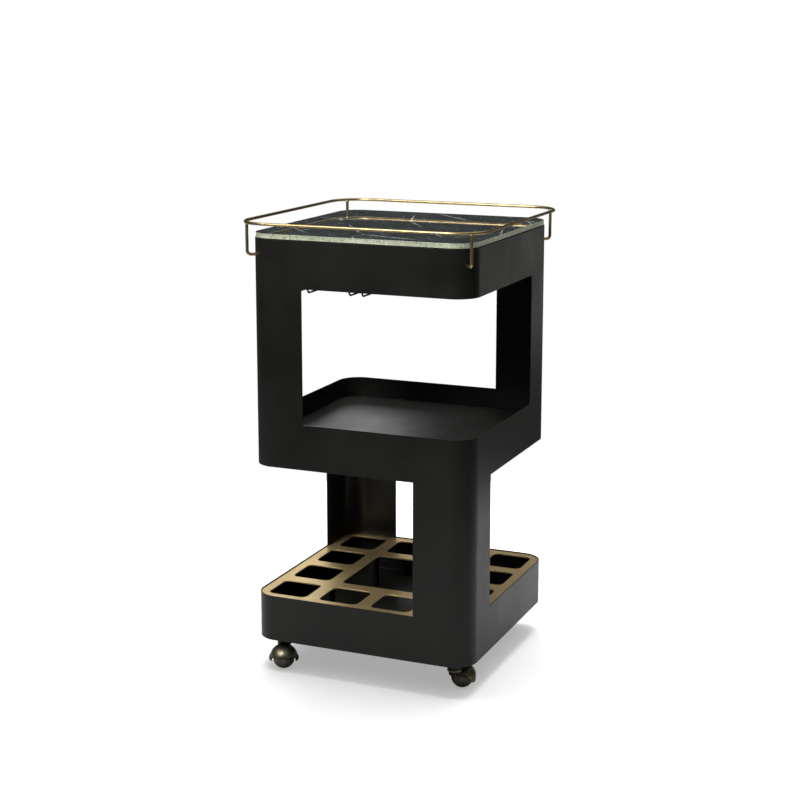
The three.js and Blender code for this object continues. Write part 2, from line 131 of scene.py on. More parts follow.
def eased(points: Plan, radius: float, closed: bool = False) -> Plan:
    """Rounds the corners of a run of points.

    Args:
        points: Corners of the run, in order.
        radius: How far from each corner the rounding starts.
        closed: Whether the last point joins the first.

    Returns:
        The run with a short curve in place of each corner.
    """
    result: Plan = []
    count = len(points)
    for i, point in enumerate(points):
        if not closed and i in (0, count - 1):
            result.append(point)
            continue
        corner, before, after = (Vector(points[j % count]) for j in (i, i - 1, i + 1))
        cuts = []
        for other in (before, after):
            reach = min(radius, LONGEST_EASE * (other - corner).length)
            cuts.append(corner + (other - corner).normalized() * reach)
        for step in range(EASE_STEPS + 1):
            t = step / EASE_STEPS
            spot = cuts[0] * (1 - t) ** 2 + corner * (2 * t * (1 - t)) + cuts[1] * t**2
            result.append((spot.x, spot.y))
    return result


def round_square(half: float, radius: float, centre: tuple[float, float] = (0, 0),
                 steps: int = CORNER_STEPS) -> Plan:
    """Outline of a square with round corners.

    Args:
        half: Half of its side.
        radius: Radius of its corners.
        centre: Its middle.
        steps: Facets in each corner.

    Returns:
        Its points, anticlockwise.
    """
    inset = half - radius
    points = []
    for quarter, (x, y) in enumerate(((1, 1), (-1, 1), (-1, -1), (1, -1))):
        for step in range(steps + 1):
            angle = (quarter + step / steps) * math.pi / 2
            points.append((centre[0] + x * inset + radius * math.cos(angle),
                           centre[1] + y * inset + radius * math.sin(angle)))
    return points


def ring_of_arc(radius: float, steps: int, turn: float = 0.0) -> Plan:
    """Points round a circle, anticlockwise from an angle."""
    angles = (turn + 2 * math.pi * i / steps for i in range(steps))
    return [(radius * math.cos(a), radius * math.sin(a)) for a in angles]


def loft(rings: Sequence[Sequence[Vector]], joined: bool = False) -> bmesh.types.BMesh:
    """Skins a row of rings.

    Args:
        rings: Rings with the same number of points, or a ring of one point for a pole.
        joined: Whether the last ring joins the first. If not, both ends are closed by a face.

    Returns:
        A closed mesh.
    """
    mesh = bmesh.new()
    rows = [[mesh.verts.new(point) for point in ring] for ring in rings]
    pairs = list(zip(rows, rows[1:]))
    if joined:
        pairs.append((rows[-1], rows[0]))
    for low, high in pairs:
        count = max(len(low), len(high))
        for i in range(count):
            j = (i + 1) % count
            corners = [low[i % len(low)], low[j % len(low)], high[j % len(high)], high[i % len(high)]]
            face = list(dict.fromkeys(corners))
            if len(face) > 2:
                mesh.faces.new(face)
    if not joined:
        for row in (rows[0], rows[-1]):
            if len(row) > 2:
                mesh.faces.new(row)
    bmesh.ops.recalc_face_normals(mesh, faces=mesh.faces)
    return mesh


def turned(profile: Plan, steps: int = ROUND_STEPS, joined: bool = False) -> bmesh.types.BMesh:
    """Turns a profile about Z.

    Args:
        profile: Pairs of radius and height.
        steps: Facets round the piece.
        joined: Whether the profile closes on itself round a bore.

    Returns:
        The turned mesh.
    """
    circle = ring_of_arc(1.0, steps)
    rings = []
    for radius, height in profile:
        points = circle if radius > POLE_RADIUS else circle[:1]
        rings.append([Vector((radius * x, radius * y, height)) for x, y in points])
    return loft(rings, joined)


def squared(profile: Plan, half: float, radius: float) -> bmesh.types.BMesh:
    """Runs a profile round a square with round corners, and closes it with flat faces.

    Args:
        profile: Pairs of inset from the outline and height.
        half: Half of the outline's side.
        radius: Radius of the outline's corners.

    Returns:
        The closed mesh.
    """
    rings = []
    for inset, height in profile:
        outline = round_square(half - inset, max(radius - inset, LEAST_RADIUS))
        rings.append([Vector((x, y, height)) for x, y in outline])
    return loft(rings)


def rod(path: Sequence[Vector], radii: Sequence[float], sides: int = ROD_SIDES,
        joined: bool = False) -> bmesh.types.BMesh:
    """Sweeps a round rod along a path.

    Args:
        path: Stations along its centre line.
        radii: Radius at each station.
        sides: Facets round the rod.
        joined: Whether the rod is a loop.

    Returns:
        The rod's mesh.
    """
    count = len(path)
    circle = ring_of_arc(1.0, sides)
    rings = []
    across = Vector((0, 0, 1))
    for i, (point, radius) in enumerate(zip(path, radii)):
        before = path[i - 1] if i or joined else point
        after = path[(i + 1) % count] if i < count - 1 or joined else point
        along = (after - before).normalized()
        if abs(across.dot(along)) > NEARLY_ALONG:
            across = Vector((along.y, -along.x, 0)) if abs(along.z) < NEARLY_UPRIGHT else Vector((1, 0, 0))
        across = (across - along * across.dot(along)).normalized()
        beside = along.cross(across)
        rings.append([point + (across * x + beside * y) * radius for x, y in circle])
    return loft(rings, joined)


def bent(corners: Sequence[Vector], radii: Sequence[float], steps: int = 12) -> list[Vector]:
    """Centre line of a bent rod, straight between its corners with an arc at each bend.

    Args:
        corners: Its two ends, with the corners of its bends between them.
        radii: Radius of each bend.
        steps: Stations in each bend.

    Returns:
        The stations.
    """
    stations = [corners[0]]
    for before, corner, after, radius in zip(corners, corners[1:], corners[2:], radii):
        inward = (corner - before).normalized()
        outward = (after - corner).normalized()
        turn = inward.angle(outward)
        start = corner - inward * radius * math.tan(turn / 2)
        across = (outward - inward * inward.dot(outward)).normalized()
        for step in range(steps + 1):
            angle = turn * step / steps
            stations.append(start + inward * radius * math.sin(angle)
                            + across * radius * (1 - math.cos(angle)))
    stations.append(corners[-1])
    return stations


def blunt_ends(path: list[Vector], radius: float) -> tuple[list[Vector], list[float]]:
    """Rounds off the two ends of a rod.

    Args:
        path: The rod's stations.
        radius: The rod's radius.

    Returns:
        The stations with three more at each end, and the radius at each station.
    """
    tips = []
    for end, inside in (path[:2], path[:-3:-1]):
        along = (inside - end).normalized()
        tips.append([end + along * radius * depth for depth in TIP_DEPTHS])
    widths = [radius * width for width in TIP_WIDTHS]
    middle = path[1:-1]
    return tips[0] + middle + tips[1][::-1], widths + [radius] * len(middle) + widths[::-1]


def linked(name: str, data: bpy.types.ID) -> bpy.types.Object:
    """Puts a shape, a light or a camera into the scene.

    Args:
        name: Name for the object.
        data: What it carries.

    Returns:
        The object.
    """
    holder = bpy.data.objects.new(name, data)
    bpy.context.scene.collection.objects.link(holder)
    return holder


def stored(name: str, source: bmesh.types.BMesh) -> bpy.types.Mesh:
    """Turns a shape that is being built into a mesh to keep.

    Args:
        name: Name for the mesh.
        source: The shape, which is freed.

    Returns:
        The mesh.
    """
    mesh = bpy.data.meshes.new(name)
    source.to_mesh(mesh)
    source.free()
    return mesh


def cut_sheet(outline: Plan, holes: Sequence[Plan], thickness: float, edge: float) -> bpy.types.Mesh:
    """Sheet cut to an outline, with soft edges, lying on its middle plane.

    Args:
        outline: The outside.
        holes: The openings in it.
        thickness: Thickness of the sheet.
        edge: Rounding of its edges.

    Returns:
        The sheet's mesh.
    """
    curve = bpy.data.curves.new("cut_sheet", "CURVE")
    curve.dimensions = "2D"
    curve.fill_mode = "BOTH"
    curve.extrude = thickness / 2 - edge
    curve.bevel_depth = edge
    curve.bevel_resolution = 2
    curve.offset = -edge
    for points in (outline, *holes):
        spline = curve.splines.new("POLY")
        spline.points.add(len(points) - 1)
        for spot, (x, y) in zip(spline.points, points):
            spot.co = (x, y, 0, 1)
        spline.use_cyclic_u = True
    mesh = applied(linked("cut_sheet", curve))
    sheet = bmesh.new()
    sheet.from_mesh(mesh)
    bmesh.ops.remove_doubles(sheet, verts=sheet.verts, dist=MERGE_DISTANCE)
    bmesh.ops.recalc_face_normals(sheet, faces=sheet.faces)
    sheet.to_mesh(mesh)
    sheet.free()
    return mesh


def applied(holder: bpy.types.Object) -> bpy.types.Mesh:
    """Applies an object's modifiers and clears the object away.

    Args:
        holder: The object that carries the shape and its modifiers.

    Returns:
        The resulting mesh.
    """
    bpy.context.view_layer.update()
    depsgraph = bpy.context.evaluated_depsgraph_get()
    mesh = bpy.data.meshes.new_from_object(holder.evaluated_get(depsgraph))
    bpy.data.objects.remove(holder)
    return mesh


def worked(mesh: bpy.types.Mesh, *modifiers: tuple[str, dict]) -> bpy.types.Mesh:
    """Runs modifiers over a mesh.

    Args:
        mesh: The starting mesh.
        modifiers: Each modifier's kind, and its settings.

    Returns:
        The resulting mesh.
    """
    holder = linked(mesh.name, mesh)
    for kind, settings in modifiers:
        modifier = holder.modifiers.new(kind.lower(), kind)
        for name, value in settings.items():
            setattr(modifier, name, value)
    return applied(holder)


def smoothed(name: str, source: Shape) -> bpy.types.Mesh:
    """Shades a shape smooth up to an angle, and keeps its flat faces flat.

    Args:
        name: Name for the mesh.
        source: The shape.

    Returns:
        The shaded mesh.
    """
    mesh = stored(name, source) if isinstance(source, bmesh.types.BMesh) else source
    mesh.shade_smooth()
    mesh.set_sharp_from_angle(angle=SMOOTH_ANGLE)
    result = worked(mesh, ("WEIGHTED_NORMAL", {"mode": "FACE_AREA", "keep_sharp": True}))
    result.name = name
    return result


def drum_for(node: str, axis: int, ease: float, steps: int = ROUND_STEPS
             ) -> tuple[bmesh.types.BMesh, Matrix]:
    """Soft-edged drum as large as a frame node.

    Args:
        node: Name of the node.
        axis: The axis that its width is measured along.
        ease: Rounding of its edges.
        steps: Facets round it.

    Returns:
        Its mesh, drawn on Z, and where it goes.
    """
    low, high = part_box(node)
    middle = (low + high) / 2
    radius = (high[axis] - low[axis]) / 2
    profile = [(0.0, low.z), (radius, low.z), (radius, high.z), (0.0, high.z)]
    return turned(eased(profile, ease), steps), Matrix.Translation((middle.x, middle.y, 0))


# ---- Shader wiring --------------------------------------------------------------------------


def linear(value: float) -> float:
    """Linear value of a display channel given as 0 to 255."""
    share = value / 255
    return share / 12.92 if share <= 0.04045 else ((share + 0.055) / 1.055) ** 2.4


def tint(red: float, green: float, blue: float) -> tuple[float, float, float, float]:
    """Linear colour of a display colour given as 0 to 255."""
    return linear(red), linear(green), linear(blue), 1.0


class Wiring:
    """Adds nodes to one node tree and joins them up."""

    def __init__(self, tree: bpy.types.NodeTree) -> None:
        """Starts with an empty tree."""
        self.tree = tree
        tree.nodes.clear()

    def node(self, kind: str, plugs: Plugs | None = None, **settings) -> bpy.types.Node:
        """Adds one node.

        Args:
            kind: The node's type, without its usual prefix.
            plugs: What goes into its inputs: a socket to join, or a value to set.
            **settings: Its other properties.

        Returns:
            The node.
        """
        node = self.tree.nodes.new(kind if kind.startswith("Node") else f"ShaderNode{kind}")
        for name, value in settings.items():
            setattr(node, name, value)
        for key, value in (plugs or {}).items():
            if isinstance(value, bpy.types.NodeSocket):
                self.tree.links.new(value, node.inputs[key])
            else:
                node.inputs[key].default_value = value
        return node

    def math(self, operation: str, first: Plug, second: Plug = 0.0, clamp: bool = False) -> Plug:
        """Result of a sum on one or two values."""
        return self.node("Math", {0: first, 1: second}, operation=operation, use_clamp=clamp).outputs[0]

    def times(self, first: Plug, second: Plug, clamp: bool = False) -> Plug:
        """Product of two values."""
        return self.math("MULTIPLY", first, second, clamp)

    def plus(self, first: Plug, second: Plug) -> Plug:
        """Sum of two values."""
        return self.math("ADD", first, second)

    def mix(self, share: Plug, first: Plug, second: Plug) -> Plug:
        """Colour that goes from the first to the second as the share goes from 0 to 1."""
        return self.node("Mix", {0: share, 6: first, 7: second}, data_type="RGBA").outputs[2]

    def fit(self, value: Plug, low: Plug, high: Plug, to_low: Plug = 0.0, to_high: Plug = 1.0) -> Plug:
        """Value eased from one range to another, and held at the ends."""
        return self.node("MapRange", {0: value, 1: low, 2: high, 3: to_low, 4: to_high},
                         interpolation_type="SMOOTHSTEP").outputs[0]

    def scaled(self, vector: Plug, by: Plug) -> Plug:
        """Vector multiplied, part by part, by another."""
        return self.node("VectorMath", {0: vector, 1: by}, operation="MULTIPLY").outputs[0]

    def noise(self, vector: Plug, scale: Plug, detail: float = 3.0, rough: float = 0.5) -> Plug:
        """Smooth noise from 0 to 1."""
        plugs = {"Vector": vector, "Scale": scale, "Detail": detail, "Roughness": rough}
        return self.node("TexNoise", plugs).outputs["Fac"]

    def place(self) -> Plug:
        """Place on the piece, in metres."""
        return self.node("TexCoord").outputs["Object"]

    def bump(self, height: Plug, distance: float) -> Plug:
        """Normal raised by a height from 0 to 1, where 1 stands for a distance."""
        return self.node("Bump", {"Height": height, "Distance": distance, "Strength": 1.0}).outputs[0]

    def facing_up(self) -> Plug:
        """How far the surface faces up, from -1 to 1."""
        normal = self.node("NewGeometry").outputs["Normal"]
        return self.node("SeparateXYZ", {0: normal}).outputs["Z"]


def new_material(name: str, look: Callable[[Wiring], Plugs]) -> bpy.types.Material:
    """Makes a material with one main shader.

    Args:
        name: Name of the material.
        look: Adds its nodes and gives the shader's inputs.

    Returns:
        The material.
    """
    material = bpy.data.materials.new(name)
    material.use_nodes = True
    wiring = Wiring(material.node_tree)
    shader = wiring.node("BsdfPrincipled", look(wiring))
    wiring.node("OutputMaterial", {"Surface": shader.outputs[0]})
    return material


# ---- Shared effects -------------------------------------------------------------------------


def edge_wear_and_highlight(wiring: Wiring, given: Plugs) -> Plugs:
    """Mask of the outer edges, broken up by noise: rubbed edges that also stand in for painted highlight
    lines along them.

    Args:
        wiring: The group's nodes.
        given: The group's inputs.

    Returns:
        The group's outputs.
    """
    soft = wiring.node("Bevel", {"Radius": given["Width"]}, samples=4).outputs[0]
    sharp = wiring.node("NewGeometry").outputs["Normal"]
    alike = wiring.node("VectorMath", {0: soft, 1: sharp}, operation="DOT_PRODUCT").outputs["Value"]
    broken = wiring.noise(wiring.place(), given["Breakup"], 4.0, 0.6)
    # The mask marks rubbed edges and also paints thin highlight lines along them.
    worn_and_highlit = wiring.times(wiring.fit(alike, 0.997, 0.86), wiring.fit(broken, 0.35, 0.62))
    return {"Mask": wiring.times(worn_and_highlit, given["Amount"], clamp=True)}


def powder_coat(wiring: Wiring, given: Plugs) -> Plugs:
    """Fine pebbled height of a baked coat, and its slow change of tone.

    Args:
        wiring: The group's nodes.
        given: The group's inputs.

    Returns:
        The group's outputs.
    """
    place = wiring.place()
    pebble = wiring.noise(place, given["Pebble"], 2.0, 0.45)
    wave = wiring.noise(place, 60.0, 1.0)
    tone = wiring.noise(place, given["Cloud"], 3.0, 0.55)
    return {"Height": wiring.plus(wiring.times(pebble, 0.6), wiring.times(wave, 0.4)),
            "Tone": wiring.fit(tone, 0.3, 0.7)}


def brushed_grain(wiring: Wiring, given: Plugs) -> Plugs:
    """Fine lines drawn out along one direction.

    Args:
        wiring: The group's nodes.
        given: The group's inputs.

    Returns:
        The group's outputs.
    """
    place = wiring.scaled(wiring.place(), given["Stretch"])
    lines = wiring.noise(place, given["Fineness"], 3.0, 0.6)
    return {"Lines": wiring.fit(lines, 0.3, 0.7)}


def handling_marks(wiring: Wiring, given: Plugs) -> Plugs:
    """Soft smudges where hands and glasses touch, and fine scuffs.

    Args:
        wiring: The group's nodes.
        given: The group's inputs.

    Returns:
        The group's outputs.
    """
    place = wiring.place()
    smudge = wiring.noise(place, given["Size"], 5.0, 0.62)
    streak = wiring.noise(wiring.scaled(place, (1.0, 0.12, 0.5)), 260.0, 2.0)
    patch = wiring.noise(place, 22.0, 2.0)
    scuffs = wiring.times(wiring.fit(streak, 0.62, 0.72), wiring.fit(patch, 0.5, 0.65))
    return {"Smudges": wiring.times(wiring.fit(smudge, 0.5, 0.72), given["Amount"]),
            "Scuffs": wiring.times(scuffs, given["Amount"])}


def settled_dust(wiring: Wiring, given: Plugs) -> Plugs:
    """Thin dust that lies on the faces that look up.

    Args:
        wiring: The group's nodes.
        given: The group's inputs.

    Returns:
        The group's outputs.
    """
    place = wiring.place()
    speck = wiring.fit(wiring.noise(place, given["Fineness"], 3.0, 0.7), 0.5, 0.75)
    drift = wiring.fit(wiring.noise(place, 9.0, 3.0), 0.4, 0.75)
    lying = wiring.times(wiring.fit(wiring.facing_up(), 0.6, 0.98), wiring.times(speck, drift))
    return {"Mask": wiring.times(lying, given["Amount"])}


def cell_borders(wiring: Wiring, place: Plug, scale: Plug, thin: Plug) -> Plug:
    """Thin lines along the borders of cells."""
    cells = wiring.node("TexVoronoi", {"Vector": place, "Scale": scale}, feature="DISTANCE_TO_EDGE")
    return wiring.fit(cells.outputs["Distance"], thin, 0.0)


def stone_veins(wiring: Wiring, given: Plugs) -> Plugs:
    """Short thin veins that run mostly one way, hairlines, and the clouds between them.

    Args:
        wiring: The group's nodes.
        given: The group's inputs.

    Returns:
        The group's outputs.
    """
    place = wiring.place()
    wander = wiring.node("TexNoise", {"Vector": place, "Scale": 11.0, "Detail": 3.0}).outputs["Color"]
    moved = wiring.node("VectorMath", {0: wander, 1: (0.022, 0.022, 0.01), 2: place},
                        operation="MULTIPLY_ADD").outputs[0]
    aslant = wiring.node("Mapping", {"Vector": moved, "Rotation": (0, 0, math.radians(-38))}).outputs[0]
    drawn = wiring.scaled(aslant, given["Run"])
    veins = cell_borders(wiring, drawn, given["Scale"], given["Thinness"])
    gaps = wiring.fit(wiring.noise(place, 11.0, 3.0), 0.44, 0.62)
    hairlines = cell_borders(wiring, drawn, wiring.times(given["Scale"], 3.1), 0.018)
    fine_gaps = wiring.fit(wiring.noise(moved, 43.0, 2.0), 0.5, 0.62)
    return {"Veins": wiring.times(veins, gaps), "Hairlines": wiring.times(hairlines, fine_gaps),
            "Clouds": wiring.fit(wiring.noise(moved, 16.0, 5.0, 0.6), 0.3, 0.7)}


def stone_grain(wiring: Wiring, given: Plugs) -> Plugs:
    """Crystals and dark flecks of a sawn stone edge.

    Args:
        wiring: The group's nodes.
        given: The group's inputs.

    Returns:
        The group's outputs.
    """
    place = wiring.place()
    crystal = wiring.node("TexVoronoi", {"Vector": place, "Scale": given["Crystal"]})
    fleck = wiring.noise(place, given["Fleck"], 4.0, 0.65)
    return {"Crystals": wiring.node("SeparateColor", {0: crystal.outputs["Color"]}).outputs[0],
            "Flecks": wiring.fit(fleck, 0.52, 0.66)}


def aged_patina(wiring: Wiring, given: Plugs) -> Plugs:
    """Darkened film of aged metal, worn through in clouds, and its specks.

    Args:
        wiring: The group's nodes.
        given: The group's inputs.

    Returns:
        The group's outputs.
    """
    place = wiring.place()
    film = wiring.noise(place, given["Cloud"], 5.0, 0.6)
    speck = wiring.noise(place, given["Speck"], 2.0)
    return {"Film": wiring.fit(film, 0.34, 0.66), "Specks": wiring.fit(speck, 0.6, 0.72)}


class Effect(Enum):
    """The effects that finishes share, each with its group's name, inputs and maker."""

    # Edge mask: rubbed edges that also carry painted highlight lines.
    EDGE_WEAR_AND_HIGHLIGHT = ("Rubbed edges and painted highlight", {"Width": 1.2 * MM, "Breakup": 90.0, "Amount": 1.0}, edge_wear_and_highlight)
    POWDER_COAT = ("Powder coat", {"Pebble": 900.0, "Cloud": 7.0}, powder_coat)
    BRUSHED_GRAIN = ("Brushed grain", {"Stretch": (1.0, 1.0, 1.0), "Fineness": 900.0}, brushed_grain)
    HANDLING_MARKS = ("Handling marks", {"Size": 14.0, "Amount": 1.0}, handling_marks)
    SETTLED_DUST = ("Settled dust", {"Fineness": 700.0, "Amount": 1.0}, settled_dust)
    STONE_VEINS = ("Stone veins", {"Scale": 8.0, "Run": (1.0, 0.4, 1.0), "Thinness": 0.011}, stone_veins)
    STONE_GRAIN = ("Stone grain", {"Crystal": 420.0, "Fleck": 170.0}, stone_grain)
    AGED_PATINA = ("Aged patina", {"Cloud": 60.0, "Speck": 900.0}, aged_patina)


class EffectShelf:
    """Builds each shared effect once, and places it in the finishes."""

    def __init__(self) -> None:
        """Starts with no groups built."""
        self.groups: dict[Effect, bpy.types.NodeTree] = {}

    def place(self, wiring: Wiring, effect: Effect, **values: Plug) -> Plugs:
        """Places an effect in a finish.

        Args:
            wiring: The finish's nodes.
            effect: The effect wanted.
            **values: Its inputs, by name.

        Returns:
            The outputs that carry the effect.
        """
        if effect not in self.groups:
            self.groups[effect] = self.group(*effect.value)
        node = wiring.node("Group", node_tree=self.groups[effect])
        for name, value in values.items():
            node.inputs[name].default_value = value
        return node.outputs

    @staticmethod
    def group(name: str, inputs: Plugs, maker: Callable[[Wiring, Plugs], Plugs]) -> bpy.types.NodeTree:
        """Builds the node group of an effect.

        Args:
            name: Name of the group.
            inputs: Its inputs and their starting values.
            maker: Adds its nodes and gives its outputs, all of them values.

        Returns:
            The group.
        """
        tree = bpy.data.node_groups.new(name, "ShaderNodeTree")
        for given, value in inputs.items():
            kind = "NodeSocketVector" if isinstance(value, tuple) else "NodeSocketFloat"
            tree.interface.new_socket(given, in_out="INPUT", socket_type=kind).default_value = value
        wiring = Wiring(tree)
        outputs = maker(wiring, wiring.node("NodeGroupInput").outputs)
        for made in outputs:
            tree.interface.new_socket(made, in_out="OUTPUT", socket_type="NodeSocketFloat")
        wiring.node("NodeGroupOutput", outputs)
        return tree


# ---- Finishes -------------------------------------------------------------------------------


@dataclass(frozen=True)
class Finish:
    """What every finish has: its slot and the plain settings of its shader."""

    slot: Slot
    name: str
    metal: float = 0.0
    ior: float = 1.5

    def look(self, wiring: Wiring, effects: EffectShelf) -> Plugs:
        """Adds the nodes of one kind of finish and gives the shader's inputs that vary."""
        raise NotImplementedError

    def build(self, effects: EffectShelf) -> bpy.types.Material:
        """Builds the material from the shared effects."""
        plain = {"Metallic": self.metal, "IOR": self.ior}
        return new_material(self.name, lambda wiring: {**plain, **self.look(wiring, effects)})


@dataclass(frozen=True)
class BakedPaint(Finish):
    """Satin powder coat on steel."""

    colour: tuple = tint(15, 14.5, 13.5)
    light: tuple = tint(20, 19.5, 18)
    # Colour of the rubbed edges, which also serves as a painted highlight along them.
    worn_and_highlit: tuple = tint(58, 56, 53)
    dust: tuple = tint(90, 88, 84)
    smooth: float = 0.34
    rough: float = 0.42
    smudged: float = -0.07
    scuffed: float = 0.08
    wear_and_highlight: float = 0.55
    handling: float = 0.6
    dustiness: float = 0.16
    pebble: float = 900.0
    pebble_depth: float = 0.05 * MM

    def look(self, wiring: Wiring, effects: EffectShelf) -> Plugs:
        """Lays the coat, then its rubbed edges, which also carry a painted highlight, then its dust and
        its marks.

        Args:
            wiring: The material's nodes.
            effects: The shared effects.

        Returns:
            The shader's inputs that vary.
        """
        coat = effects.place(wiring, Effect.POWDER_COAT, Pebble=self.pebble)
        wear_and_highlight = effects.place(wiring, Effect.EDGE_WEAR_AND_HIGHLIGHT, Amount=self.wear_and_highlight)
        marks = effects.place(wiring, Effect.HANDLING_MARKS, Amount=self.handling)
        dust = effects.place(wiring, Effect.SETTLED_DUST, Amount=self.dustiness)
        base = wiring.mix(coat["Tone"], self.colour, self.light)
        # Painted highlight: edges are lightened partly as rubbed paint and partly as a highlight line.
        base = wiring.mix(wear_and_highlight["Mask"], base, self.worn_and_highlit)
        base = wiring.mix(dust["Mask"], base, self.dust)
        rough = wiring.fit(coat["Tone"], 0.0, 1.0, self.smooth, self.rough)
        rough = wiring.plus(rough, wiring.times(marks["Smudges"], self.smudged))
        rough = wiring.plus(rough, wiring.times(marks["Scuffs"], self.scuffed))
        return {"Base Color": base, "Roughness": rough,
                "Normal": wiring.bump(coat["Height"], self.pebble_depth)}


@dataclass(frozen=True)
class PolishedMarble(Finish):
    """Near-black green marble, polished on top and honed on its sawn edge."""

    ground: tuple = tint(17, 20, 21)
    cloud: tuple = tint(30, 35, 35)
    vein: tuple = tint(196, 202, 196)
    honed: tuple = tint(196, 202, 180)
    honed_dark: tuple = tint(146, 153, 130)
    fleck: tuple = tint(72, 80, 64)
    handling: float = 0.5
    hairline_share: float = 0.2
    vein_share: float = 0.55
    side_vein_share: float = 0.6
    side_cloud_share: float = 0.45
    fleck_share: float = 0.6
    polished_rough: float = 0.035
    honed_rough: float = 0.42
    smudged: float = 0.03
    grain_depth: float = 0.06 * MM

    def look(self, wiring: Wiring, effects: EffectShelf) -> Plugs:
        """Veins the top, grains the edge, and parts them by the way the surface faces.

        Args:
            wiring: The material's nodes.
            effects: The shared effects.

        Returns:
            The shader's inputs that vary.
        """
        veins = effects.place(wiring, Effect.STONE_VEINS)
        grain = effects.place(wiring, Effect.STONE_GRAIN)
        marks = effects.place(wiring, Effect.HANDLING_MARKS, Amount=self.handling)
        edge = wiring.fit(wiring.math("ABSOLUTE", wiring.facing_up()), 0.75, 0.2)
        top = wiring.mix(veins["Clouds"], self.ground, self.cloud)
        side = wiring.mix(grain["Crystals"], self.honed_dark, self.honed)
        shaded = wiring.fit(veins["Clouds"], 0.0, 1.0, self.side_cloud_share, 0.0)
        side = wiring.mix(shaded, side, self.honed_dark)
        side = wiring.mix(wiring.times(grain["Flecks"], self.fleck_share), side, self.fleck)
        for lines, share in (("Hairlines", self.hairline_share), ("Veins", self.vein_share)):
            top = wiring.mix(wiring.times(veins[lines], share), top, self.vein)
        side = wiring.mix(wiring.times(veins["Veins"], self.side_vein_share), side, self.vein)
        rough = wiring.plus(wiring.fit(edge, 0.0, 1.0, self.polished_rough, self.honed_rough),
                            wiring.times(marks["Smudges"], self.smudged))
        return {"Base Color": wiring.mix(edge, top, side), "Roughness": rough,
                "Normal": wiring.bump(wiring.times(grain["Crystals"], edge), self.grain_depth)}


@dataclass(frozen=True)
class BrushedMetal(Finish):
    """Lacquered or bare metal with brushed lines, patina, and rubbed edges lightened partly by rubbing and
    partly as a painted highlight.
    """

    colour: tuple = tint(172, 152, 112)
    aged: tuple = tint(122, 104, 72)
    # Colour of the rubbed edges, which also serves as a painted highlight along them.
    bright_edge_and_highlight: tuple = tint(204, 188, 150)
    film: float = 0.5
    smooth: float = 0.26
    rough: float = 0.4
    stretch: tuple = (1.0, 1.0, 1.0)
    fineness: float = 900.0
    cloud: float = 60.0
    specks: float = 0.35
    wear_and_highlight: float = 0.6
    film_haze: float = 0.08
    grain_depth: float = 0.02 * MM

    def look(self, wiring: Wiring, effects: EffectShelf) -> Plugs:
        """Brushes the metal, then lays its patina and its rubbed edges, which also carry a painted
        highlight.

        Args:
            wiring: The material's nodes.
            effects: The shared effects.

        Returns:
            The shader's inputs that vary.
        """
        grain = effects.place(wiring, Effect.BRUSHED_GRAIN, Stretch=self.stretch, Fineness=self.fineness)
        patina = effects.place(wiring, Effect.AGED_PATINA, Cloud=self.cloud)
        wear_and_highlight = effects.place(wiring, Effect.EDGE_WEAR_AND_HIGHLIGHT, Amount=self.wear_and_highlight)
        film = wiring.times(patina["Film"], self.film)
        base = wiring.mix(film, self.colour, self.aged)
        base = wiring.mix(wiring.times(patina["Specks"], self.specks), base, self.aged)
        # Painted highlight: edges are lightened partly as rubbed metal and partly as a highlight line.
        base = wiring.mix(wear_and_highlight["Mask"], base, self.bright_edge_and_highlight)
        rough = wiring.fit(grain["Lines"], 0.0, 1.0, self.smooth, self.rough)
        return {"Base Color": base, "Roughness": wiring.plus(rough, wiring.times(film, self.film_haze)),
                "Normal": wiring.bump(grain["Lines"], self.grain_depth)}


@dataclass(frozen=True)
class MilkySilicone(Finish):
    """Soft clear pads under the marble."""

    colour: tuple = tint(176, 180, 172)
    shade: tuple = tint(148, 152, 144)
    smooth: float = 0.4
    rough: float = 0.55
    pebble: float = 1500.0
    cloud: float = 120.0
    grain_depth: float = 0.02 * MM

    def look(self, wiring: Wiring, effects: EffectShelf) -> Plugs:
        """Clouds the silicone.

        Args:
            wiring: The material's nodes.
            effects: The shared effects.

        Returns:
            The shader's inputs that vary.
        """
        coat = effects.place(wiring, Effect.POWDER_COAT, Pebble=self.pebble, Cloud=self.cloud)
        return {"Base Color": wiring.mix(coat["Tone"], self.colour, self.shade),
                "Roughness": wiring.fit(coat["Tone"], 0.0, 1.0, self.smooth, self.rough),
                "Normal": wiring.bump(coat["Height"], self.grain_depth)}


